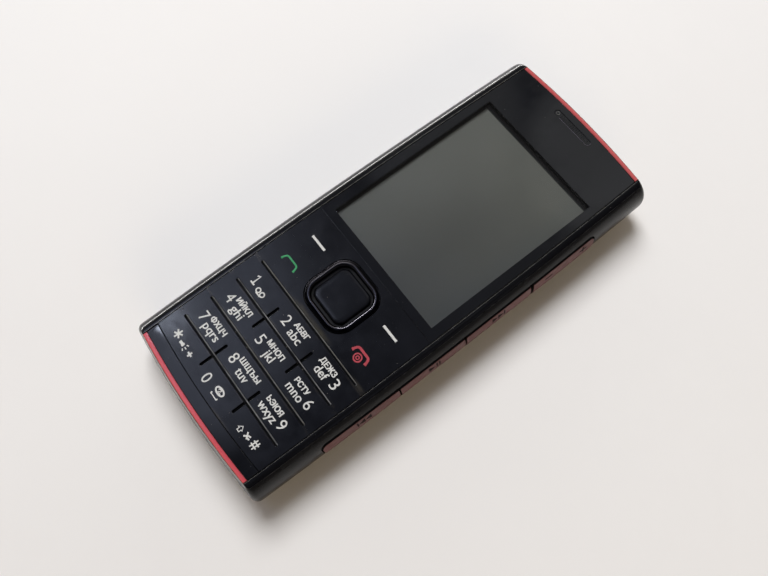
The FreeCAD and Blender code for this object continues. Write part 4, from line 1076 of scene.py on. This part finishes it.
def key_cells():
    """Every key's name and its cell of the sheet as x0, x1, y0, y1."""
    columns = (-OUT, -ARM_X, ARM_X, OUT)
    rows = [slot_y(index) for index in range(4)] + [-FAR]
    cells = {}
    for index, mark in enumerate("1 2 3 4 5 6 7 8 9 star 0 hash".split()):
        row, column = divmod(index, 3)
        cells["key_" + mark] = (columns[column], columns[column + 1], rows[row + 1], rows[row])
    cells["soft_key_left"] = (-OUT, -FUNCTION_X, FUNCTION_SPLIT_Y, 0)
    cells["soft_key_right"] = (FUNCTION_X, OUT, FUNCTION_SPLIT_Y, 0)
    cells["call_key"] = (-OUT, -FUNCTION_X, rows[0], FUNCTION_SPLIT_Y)
    cells["end_key"] = (FUNCTION_X, OUT, rows[0], FUNCTION_SPLIT_Y)
    cells["nav_plate"] = (-FUNCTION_X, FUNCTION_X, rows[0], 0)
    return cells


def key_caps():
    """Keys cut from one sheet, so that its surface runs on from key to key."""
    sheet = key_sheet()
    for name, span in key_cells().items():
        cell = block(*drawn_in(span, HALF_HAIRLINE), 9, 15)
        cap = combined(sheet.copy(), [cell], "INTERSECT")
        body = "housing" if name == "nav_plate" else name + "_body"
        finished(cap, name + "_cap", body, KEYS, [name])
    sheet.free()


def key_ridges():
    """Rubber ridges in the slots between the keys: in the long ones a low base and a narrow
    crest above its middle."""
    reach = SLOT_HALF_LENGTH - 0.12
    ridges = []
    for index in range(4):
        y = slot_y(index)
        ridges.append(block(-reach, reach, y - 0.3, y + 0.1, MAT_TOP_Z, 12.1))
        ridges.append(block(-reach, reach, y + 0.08, y + 0.3, MAT_TOP_Z, 12.86, 0.1, 0))
    for x, y in cross_slots():
        ridges.append(block(*around(x, y, 0.16, ARM_HALF_LENGTH - 0.15), MAT_TOP_Z, 12.35,
                            0.14, 1, 3))
    finished(merged(*ridges), "keypad_mat_ridges", "housing", RIDGE)


def ring_level(inset, z):
    """Outline of the navigation ring drawn in from its outer edge."""
    share = inset / RING_WIDTH
    outline = [outer + (inner - outer) * share for outer, inner in zip(RING_OUTER, RING_INNER)]
    return *outline, z


def navigation():
    """Navigation ring, by insets and heights round its section, and the centre key."""
    profile = ((0, 12.46), (0, 12.92), (0.05, 12.97), (0.16, 13.01), (0.3, 13.07),
               (0.44, 13.14), (0.56, 13.21), (0.66, 13.27), (0.75, 13.3), (0.84, 13.29),
               (0.93, 13.24), (1.02, 13.15), (1.12, 13.02), (1.22, 12.88), (1.3, 12.74),
               (1.35, 12.6), (1.35, 12.46))
    ring = stacked([ring_level(*point) for point in profile], True, corner=12, sides=(6, 6),
                   bowed=False, centre=(0, NAV_Y))
    finished(ring, "nav_ring_rim", "nav_ring_body", CHROME, ["nav_ring"], 50)
    levels = [(4.95, 4.75, 1.9, 11.9), (4.95, 4.75, 1.9, 12.3), (4.86, 4.66, 1.82, 12.5),
              (4.76, 4.56, 1.74, 12.68), (4.66, 4.46, 1.66, 12.79), (4.5, 4.3, 1.56, 12.85),
              (4.2, 4.0, 1.4, 12.885), (3.6, 3.4, 1.2, 12.9)]
    cap = stacked(levels, corner=10, bowed=False, centre=(0, NAV_Y))
    finished(cap, "centre_key_cap", "centre_key_body", KEYS, ["centre_key"], 50)


# Legends

def winding(point, loops):
    """How often the outlines run round a point, counted along a line to its right."""
    turns = 0
    for start, end in loops:
        if (start.y <= point.y) != (end.y <= point.y):
            share = (point.y - start.y) / (end.y - start.y)
            if start.x + share * (end.x - start.x) > point.x:
                turns += 1 if end.y > start.y else -1
    return turns


def filled_outlines(mesh):
    """Thin plate with the outlines of some letters. It is filled from scratch, because the
    font's own fill goes wrong where a letter's outline crosses itself."""
    points = [Vector(vert.co[:2]) for vert in mesh.vertices]
    edges = [tuple(edge.vertices) for edge in mesh.edges]
    loops = [(points[start], points[end]) for start, end in edges]
    corners, _, faces, _, _, _ = delaunay_2d_cdt(points, edges, [], 0, 1e-4)
    work = bmesh.new()
    verts = [work.verts.new((corner.x, corner.y, -PRINT_RISE)) for corner in corners]
    for face in faces:
        middle = sum((corners[index] for index in face), Vector((0, 0))) / len(face)
        if winding(middle, loops):
            work.faces.new([verts[index] for index in face])
    bmesh.ops.delete(work, geom=[vert for vert in work.verts if not vert.link_faces],
                     context="VERTS")
    return thickened(work, 2 * PRINT_RISE)


def curve_mesh(curve):
    """Mesh of a curve or of letters, which are removed."""
    item = bpy.data.objects.new("curve", curve)
    scene.collection.objects.link(item)
    mesh = evaluated(item)
    bpy.data.objects.remove(item)
    bpy.data.curves.remove(curve)
    return mesh


def lettering(words, x, y, height, width, small=False, bold=0.0):
    """Flat letters raised a hair above the key. Height is that of a capital, or of an x for
    small letters, and y is its middle; x is the middle of the printed width. Bold letters
    are copies laid over each other a little apart."""
    curve = bpy.data.curves.new("letters", "FONT")
    curve.body = words
    curve.size = height / (X_SHARE if small else CAPITAL_SHARE)
    curve.fill_mode = "NONE"
    curve.resolution_u = 4
    mesh = curve_mesh(curve)
    work = filled_outlines(mesh)
    bpy.data.meshes.remove(mesh)
    left = min(vert.co.x for vert in work.verts)
    right = max(vert.co.x for vert in work.verts)
    bmesh.ops.translate(work, vec=(-(left + right) / 2, -height / 2, 0), verts=work.verts)
    stretch = (width - 2 * bold) / (right - left)
    bmesh.ops.scale(work, vec=(stretch, 1, 1), verts=work.verts)
    bmesh.ops.translate(work, vec=(x, y, FACE_Z), verts=work.verts)
    if not bold:
        return work
    copies = []
    for index, (along, up) in enumerate(((-1, -0.5), (-1, 0.5), (1, -0.5), (1, 0.5))):
        copy = work.copy()
        bmesh.ops.translate(copy, vec=(bold * along, bold * up, index * 0.001),
                            verts=copy.verts)
        copies.append(copy)
    work.free()
    return merged(*copies)


def stroke(points, width, closed=False):
    """Flat painted line of one width through points."""
    curve = bpy.data.curves.new("stroke", "CURVE")
    curve.dimensions = "3D"
    line = curve.splines.new("POLY")
    line.points.add(len(points) - 1)
    for point, (x, y) in zip(line.points, points):
        point.co = (x, y, 0, 1)
    line.use_cyclic_u = closed
    curve.bevel_depth = width / 2
    curve.bevel_resolution = 2
    curve.use_fill_caps = not closed
    mesh = curve_mesh(curve)
    work = bmesh.new()
    work.from_mesh(mesh)
    bpy.data.meshes.remove(mesh)
    bmesh.ops.scale(work, vec=(1, 1, STROKE_THICKNESS / width), verts=work.verts)
    bmesh.ops.translate(work, vec=(0, 0, FACE_Z), verts=work.verts)
    return work


def arc_points(x, y, radius, start, end, steps=14):
    """Points along an arc between two angles in degrees."""
    points = []
    for step in range(steps + 1):
        angle = math.radians(start + (end - start) * step / steps)
        points.append((x + radius * math.cos(angle), y + radius * math.sin(angle)))
    return points


def handset(x, y, width, weight):
    """Telephone receiver drawn as a flat arch with short thick ends."""
    side = width / 2
    arch = [(x - side, y - 1.45), (x - side + 0.12, y - 0.85)]
    arch += arc_points(x - side + 0.95, y - 0.75, 0.75, 172, 98, 5)
    arch += arc_points(x + side - 0.95, y - 0.75, 0.75, 82, 8, 5)
    arch += [(x + side - 0.12, y - 0.85), (x + side, y - 1.45)]
    ends = [stroke([(x + sign * (side - 0.06), y - 1.15), (x + sign * side, y - 1.5)],
                   weight * 1.25) for sign in (-1, 1)]
    return merged(stroke(arch, weight), *ends)


def legend(name, marks, look=WHITE_PRINT):
    """Prints the marks on a key."""
    finished(merged(*marks), name + "_legend", name + "_body", look)


def strokes(width, *lines):
    """Several painted lines of one width."""
    return [stroke(line, width) for line in lines]


def number_legends():
    """Numbers, their two groups of letters and the small signs. A row holds a figure and its
    x, then each group's letters, x and width."""
    rows = (
        ("2", -2.85, "abc", 1.04, 3.65, "АБВГ", 1.04, 4.4),
        ("3", 14.1, "def", 10.4, 3.3, "ДЕЖЗ", 10.44, 4.9),
        ("4", -14.15, "ghi", -10.58, 3.3, "ИЙКЛ", -10.58, 4.8),
        ("5", -2.85, "jkl", 1.15, 2.5, "МНОП", 1.02, 5.1),
        ("6", 14.1, "mno", 10.33, 4.55, "РСТУ", 10.33, 4.2),
        ("7", -14.1, "pqrs", -10.4, 4.65, "ФХЦЧ", -10.45, 4.95),
        ("8", -2.95, "tuv", 1.06, 3.25, "ШЩЪЫ", 1.23, 6.35),
        ("9", 14.15, "wxyz", 10.2, 5.15, "ЬЭЮЯ", 10.2, 4.8),
    )
    for figure, x, small, small_x, small_width, upper, upper_x, upper_width in rows:
        y = FIGURE_Y - (int(figure) - 1) // 3 * FIGURE_STEP
        legend("key_" + figure, [
            lettering(figure, x, y, *FIGURE),
            lettering(small, small_x, y - 1.0, 1.22, small_width, True, 0.04),
            lettering(upper, upper_x, y + 1.12, 1.16, upper_width, False, 0.07)])
    legend("key_1", [
        *strokes(0.36, [(-14.6, -27.0), (-14.0, -26.55), (-14.0, -28.75)]),
        *strokes(0.34, [(-14.65, -28.75), (-13.35, -28.75)]),
        *strokes(0.3, arc_points(-11.88, -28.65, 0.52, 0, 360),
                 arc_points(-10.52, -28.65, 0.52, 0, 360)),
        *strokes(0.32, [(-11.88, -29.3), (-10.52, -29.3)])])
    star = [[(-14.25 + end * math.cos(turn) * 0.95, -47.1 + end * math.sin(turn) * 1.05)
             for end in (-1, 1)] for turn in map(math.radians, (30, 90, 150))]
    torch = strokes(0.6, [(-12.75, -47.65), (-11.95, -47.6)])
    torch += strokes(0.5, [(-11.7, -47.2), (-11.7, -48.0)])
    torch += strokes(0.24, [(-11.1, -47.05), (-10.65, -46.8)],
                     [(-11.05, -47.6), (-10.45, -47.6)], [(-11.1, -48.15), (-10.65, -48.4)])
    plus = strokes(0.38, [(-9.75, -47.6), (-8.5, -47.6)], [(-9.12, -46.98), (-9.12, -48.22)])
    legend("key_star", strokes(0.36, *star) + torch + plus)
    oval = [(1.04 + 1.15 * math.cos(turn), -46.85 + 0.62 * math.sin(turn))
            for turn in map(math.radians, range(0, 360, 20))]
    legend("key_0", [
        lettering("0", -2.97, -47.4, *FIGURE), stroke(oval, 0.36, closed=True),
        *strokes(0.24, [(0.45, -46.75), (0.75, -46.5), (1.2, -46.55), (1.2, -46.8),
                        (0.7, -47.15), (1.6, -47.15)]),
        *strokes(0.32, [(0.1, -48.05), (0.1, -48.4), (1.98, -48.4), (1.98, -48.05)])])
    arrow = [(9.65, -46.95), (10.3, -47.65), (9.98, -47.65), (9.98, -48.25), (9.32, -48.25),
             (9.32, -47.65), (9.0, -47.65)]
    bell = strokes(0.34, [(11.15, -46.75), (12.1, -47.85)],
                   [(11.15, -47.95), (11.9, -47.1), (12.4, -46.95)],
                   [(12.0, -47.6), (12.55, -47.5)])
    hash_sign = strokes(0.28, [(13.75, -46.1), (13.6, -48.15)], [(14.45, -46.1), (14.3, -48.15)],
                        [(13.25, -46.75), (14.85, -46.75)], [(13.2, -47.5), (14.8, -47.5)])
    legend("key_hash", [stroke(arrow, 0.26, closed=True)] + bell + hash_sign)


def function_legends():
    """Dashes of the soft keys and the receivers of the call and end keys."""
    legend("soft_key_left", strokes(0.55, [(-14.9, -12.3), (-10.5, -12.3)]))
    legend("soft_key_right", strokes(0.55, [(10.4, -12.35), (14.75, -12.35)]))
    legend("call_key", [handset(-12.83, -19.15, 4.2, 0.4)], GREEN_PRINT)
    legend("end_key", [handset(12.5, -19.05, 4.2, 0.55),
                       stroke(arc_points(12.5, -20.7, 0.88, 0, 360, 20), 0.32),
                       stroke(arc_points(12.5, -20.7, 0.36, 0, 360, 12), 0.26)], RED_PRINT)


# Sides and ends

def side_keys():
    """Previous, play, next and volume keys cut from one strip that stands a little proud."""
    for name, y0, y1 in SIDE_SPANS:
        tool = block(KEY_BACK_X, OUT, y0, y1, WIDE_Z + SEAM, STRIP_TOP_Z - SIDE_GAP)
        for end_y in (y0, y1):
            corner = [edge for edge in tool.edges
                      if all(abs(vert.co.y - end_y) < 1e-3 and vert.co.z > 9
                             for vert in edge.verts)]
            radius = STRIP_CORNER - SIDE_GAP if abs(end_y) > 30 else 0.3
            bmesh.ops.bevel(tool, geom=corner, offset=radius, offset_type="OFFSET", segments=6,
                            profile=0.5, affect="EDGES", material=-1)
        key = combined(body_solid(5.0, 11.0, grow=STRIP_PROUD),
                       [tool, block(0, HALF_WIDTH, -FAR, FAR, 0, OVER)], "INTERSECT")
        softened(key, 0.16, 3, 34, lambda p: p.x > 22.4)
        finished(key, name + "_cap", name + "_body", SIDE_RED, [name])


def arrowhead(y, way):
    """Three-sided prism across the strip whose point looks along it."""
    work = bmesh.new()
    bmesh.ops.create_cone(work, cap_ends=True, segments=3, radius1=1.1, radius2=1.1,
                          depth=2 * SIGN_HALF_DEPTH)
    tip = work.verts[:][0].co
    spin = -math.atan2(tip.y, tip.x) + (0 if way > 0 else math.pi)
    bmesh.ops.rotate(work, verts=work.verts, cent=(0, 0, 0),
                     matrix=Matrix.Rotation(spin, 3, "Z"))
    bmesh.ops.rotate(work, verts=work.verts, cent=(0, 0, 0),
                     matrix=Matrix(((0, 0, 1), (1, 0, 0), (0, 1, 0))))
    bmesh.ops.translate(work, vec=(SIGN_X, y, SIGN_Z), verts=work.verts)
    return work


def bar(y, along=0.4, up=1.9):
    """Upright bar of a sign, or a level one."""
    return block(*around(SIGN_X, y, SIGN_HALF_DEPTH, along / 2), SIGN_Z - up / 2,
                 SIGN_Z + up / 2)


def side_signs():
    """Music and volume signs printed on the side keys."""
    signs = {
        "previous_key": [bar(-28.7), arrowhead(-27.4, -1), arrowhead(-25.8, -1)],
        "play_key": [arrowhead(-9.6, 1), bar(-8.0), bar(-7.3)],
        "next_key": [bar(10.7), arrowhead(9.4, 1), arrowhead(7.8, 1)],
        "volume_rocker": [bar(23.6, 2.1, 0.5), bar(33.9, 2.1, 0.5), bar(33.9, 0.5)],
    }
    for name, shapes in signs.items():
        limit = block(22.6, HALF_WIDTH, -FAR, FAR, 7.0, 10.2)
        skins = [combined(body_solid(6.5, 11.0, grow=STRIP_PROUD + PRINT_RISE),
                          [shape, limit.copy()], "INTERSECT") for shape in shapes]
        limit.free()
        finished(merged(*skins), name + "_sign", name + "_body", DARK_PRINT)


def end_details():
    """Data socket's flap, headset jack with its three springs, and charging jack with its
    centre pin, all in the top end."""
    flap = block(-FLAP_HALF_WIDTH, FLAP_HALF_WIDTH, 54.4, FAR, FLAP_Z - FLAP_HALF_HEIGHT,
                 FLAP_Z + FLAP_HALF_HEIGHT, 0.45, 1)
    flap = combined(body_solid(FRAME_BOTTOM_Z, 10.5), [flap], "INTERSECT")
    softened(flap, 0.1, angle=34, where=lambda p: p.y > 54.9)
    finished(flap, "usb_cover_flap", "usb_cover_body", SATIN, ["usb_cover"])
    jack = turned([(HEADSET_BORE, 42.2), (HEADSET_BORE, 55.0), (HEADSET_BORE + 0.15, 55.12),
                   (HEADSET_RADIUS - 0.15, 55.12), (HEADSET_RADIUS, 54.98),
                   (HEADSET_RADIUS, 42.0), (HEADSET_BORE, 42.0)], "Y", HEADSET_JACK, 48)
    finished(jack, "headset_jack_barrel", "housing", BLACK, ["headset_jack"])
    springs = [turned([(HEADSET_BORE, y), (HEADSET_BORE - 0.2, y + 0.15),
                       (HEADSET_BORE - 0.2, y + 0.6), (HEADSET_BORE, y + 0.75)], "Y",
                      HEADSET_JACK, 36) for y in (43.5, 46.4, 49.4)]
    finished(merged(*springs), "headset_jack_springs", "housing", GOLD)
    charger = turned([(1.05, 47.0), (1.05, 54.9), (1.2, 55.05),
                      (CHARGING_RADIUS - 0.15, 55.05), (CHARGING_RADIUS, 54.9),
                      (CHARGING_RADIUS, 46.5), (0, 46.5), (0, 47.0)], "Y", CHARGING_JACK)
    finished(charger, "charging_jack_barrel", "housing", NICKEL, ["charging_jack"])
    pin = turned([(0, 46.8), (0.25, 46.8), (0.25, 53.4), (0.12, 53.7), (0, 53.75)], "Y",
                 CHARGING_JACK, 16)
    finished(pin, "charging_jack_pin", "housing", NICKEL)


# Back

def rear_cover():
    """Battery cover: a thin curved tray."""
    shell = combined(body_solid(0.0, WIDE_Z - SEAM),
                     [body_solid(0.9, WIDE_Z + 0.5, 10, -0.9),
                      block(-OUT, OUT, COVER_TOP_Y, FAR, UNDER, 9)])
    softened(shell, 0.12, angle=34, where=lambda p: p.y > COVER_TOP_Y - 0.1 or p.z > 5.8)
    finished(shell, "rear_cover_shell", "rear_cover_body", BACK, ["rear_cover"])


def rear_housing():
    """Fixed back round the camera and the tray that holds the battery."""
    socket_recess = block(-SOCKET_BAY_HALF_WIDTH - SEAM, SOCKET_BAY_HALF_WIDTH + SEAM,
                          SOCKET_BAY_Y - SEAM, FAR, FRAME_BOTTOM_Z - SEAM, 9)
    skin = combined(body_solid(0.0, WIDE_Z - SEAM),
                    [body_solid(1.2, WIDE_Z + 0.5, 10, -1.2),
                     block(-OUT, OUT, -FAR, COVER_TOP_Y + SEAM, UNDER, 9), socket_recess])
    cuts = [rod(CAMERA_RECESS_RADIUS, UNDER, 0.8, "Z", CAMERA_WINDOW, 56),
            rod(CAMERA_HOLE_RADIUS, UNDER, 3, "Z", CAMERA_WINDOW, 48),
            block(*FLASH, UNDER, 3, 0.3, 2)]
    for side in (-1, 1):
        for step in (-1, 0, 1):
            slot = around(side * GRILLE[0] + step * GRILLE_PITCH, GRILLE[1], *GRILLE_SLOT)
            cuts.append(block(*slot, UNDER, 3, GRILLE_SLOT[0] - 0.01, 2, 6))
    skin = combined(skin, cuts)
    softened(skin, 0.12, angle=34, where=lambda p: p.z < 0.5 or p.y < COVER_TOP_Y + 0.2)
    tray = combined(node_copy("rear_housing"),
                    [block(-OUT, OUT, -FAR, COVER_TOP_Y + 1.1, 1.0, 9)], "INTERSECT")
    finished(skin, "rear_housing_shell", "housing", BACK, ["rear_housing"])
    finished(tray, "rear_housing_tray", "housing", BLACK)


def camera_and_flash():
    """Camera window with its metal ring, the lens behind it and the flash."""
    ring = turned([(3.55, 0.06), (3.55, 0.5), (4.12, 0.5), (4.12, 0.12), (4.0, 0.02),
                   (3.68, 0.0), (3.55, 0.06)], "Z", CAMERA_WINDOW, 64)
    finished(ring, "camera_ring", "housing", CHROME)
    window = turned([(0, 0.1), (3.4, 0.1), (3.52, 0.2), (3.52, 0.78), (0, 0.78)], "Z",
                    CAMERA_WINDOW, 56)
    finished(window, "camera_window_glass", "housing", TINTED, ["camera_window"])
    lens = [(0, 0.82), (0.7, 0.86), (1.15, 1.0), (1.3, 1.15), (1.7, 0.9), (2.3, 0.85),
            (2.4, 1.1), (2.4, 1.4), (0, 1.4)]
    finished(turned(lens, "Z", CAMERA_WINDOW), "camera_lens", "housing", TINTED)
    flash = block(*drawn_in(FLASH, FLASH_GAP), 0.04, 1.2, 0.28, 2)
    softened(flash, 0.08, angle=40, where=lambda p: p.z < 0.2)
    finished(flash, "flash_lens_block", "housing", CARD, ["flash_lens"])


def inner_nodes():
    """Finishes of the inner pieces that keep their CAD shape."""
    looks = (
        (STEEL, "display_frame shield_cans microphone vibration_motor usb_socket card_holder "
                "housing_screws"),
        (BLACK, "nav_rocker antenna_carrier earpiece_speaker loudspeaker_left loudspeaker_right "
                "camera_module battery_connector memory_card"),
        (RUBBER, "keypad_mat"), (FILM, "dome_sheet"), (BOARD, "circuit_board"),
        (AMBER, "side_key_flex"), (BATTERY, "battery"), (CARD, "sim_card"))
    for look, names in looks:
        for name in names.split():
            materials = nodes[name].data.materials
            materials.clear()
            materials.append(look)


camera()
surroundings()
lamps()
floor()
front_cover()
side_frame()
face_panel()
display()
earpiece()
end_pieces()
key_caps()
key_ridges()
navigation()
number_legends()
function_legends()
side_keys()
side_signs()
end_details()
rear_cover()
rear_housing()
camera_and_flash()
inner_nodes()
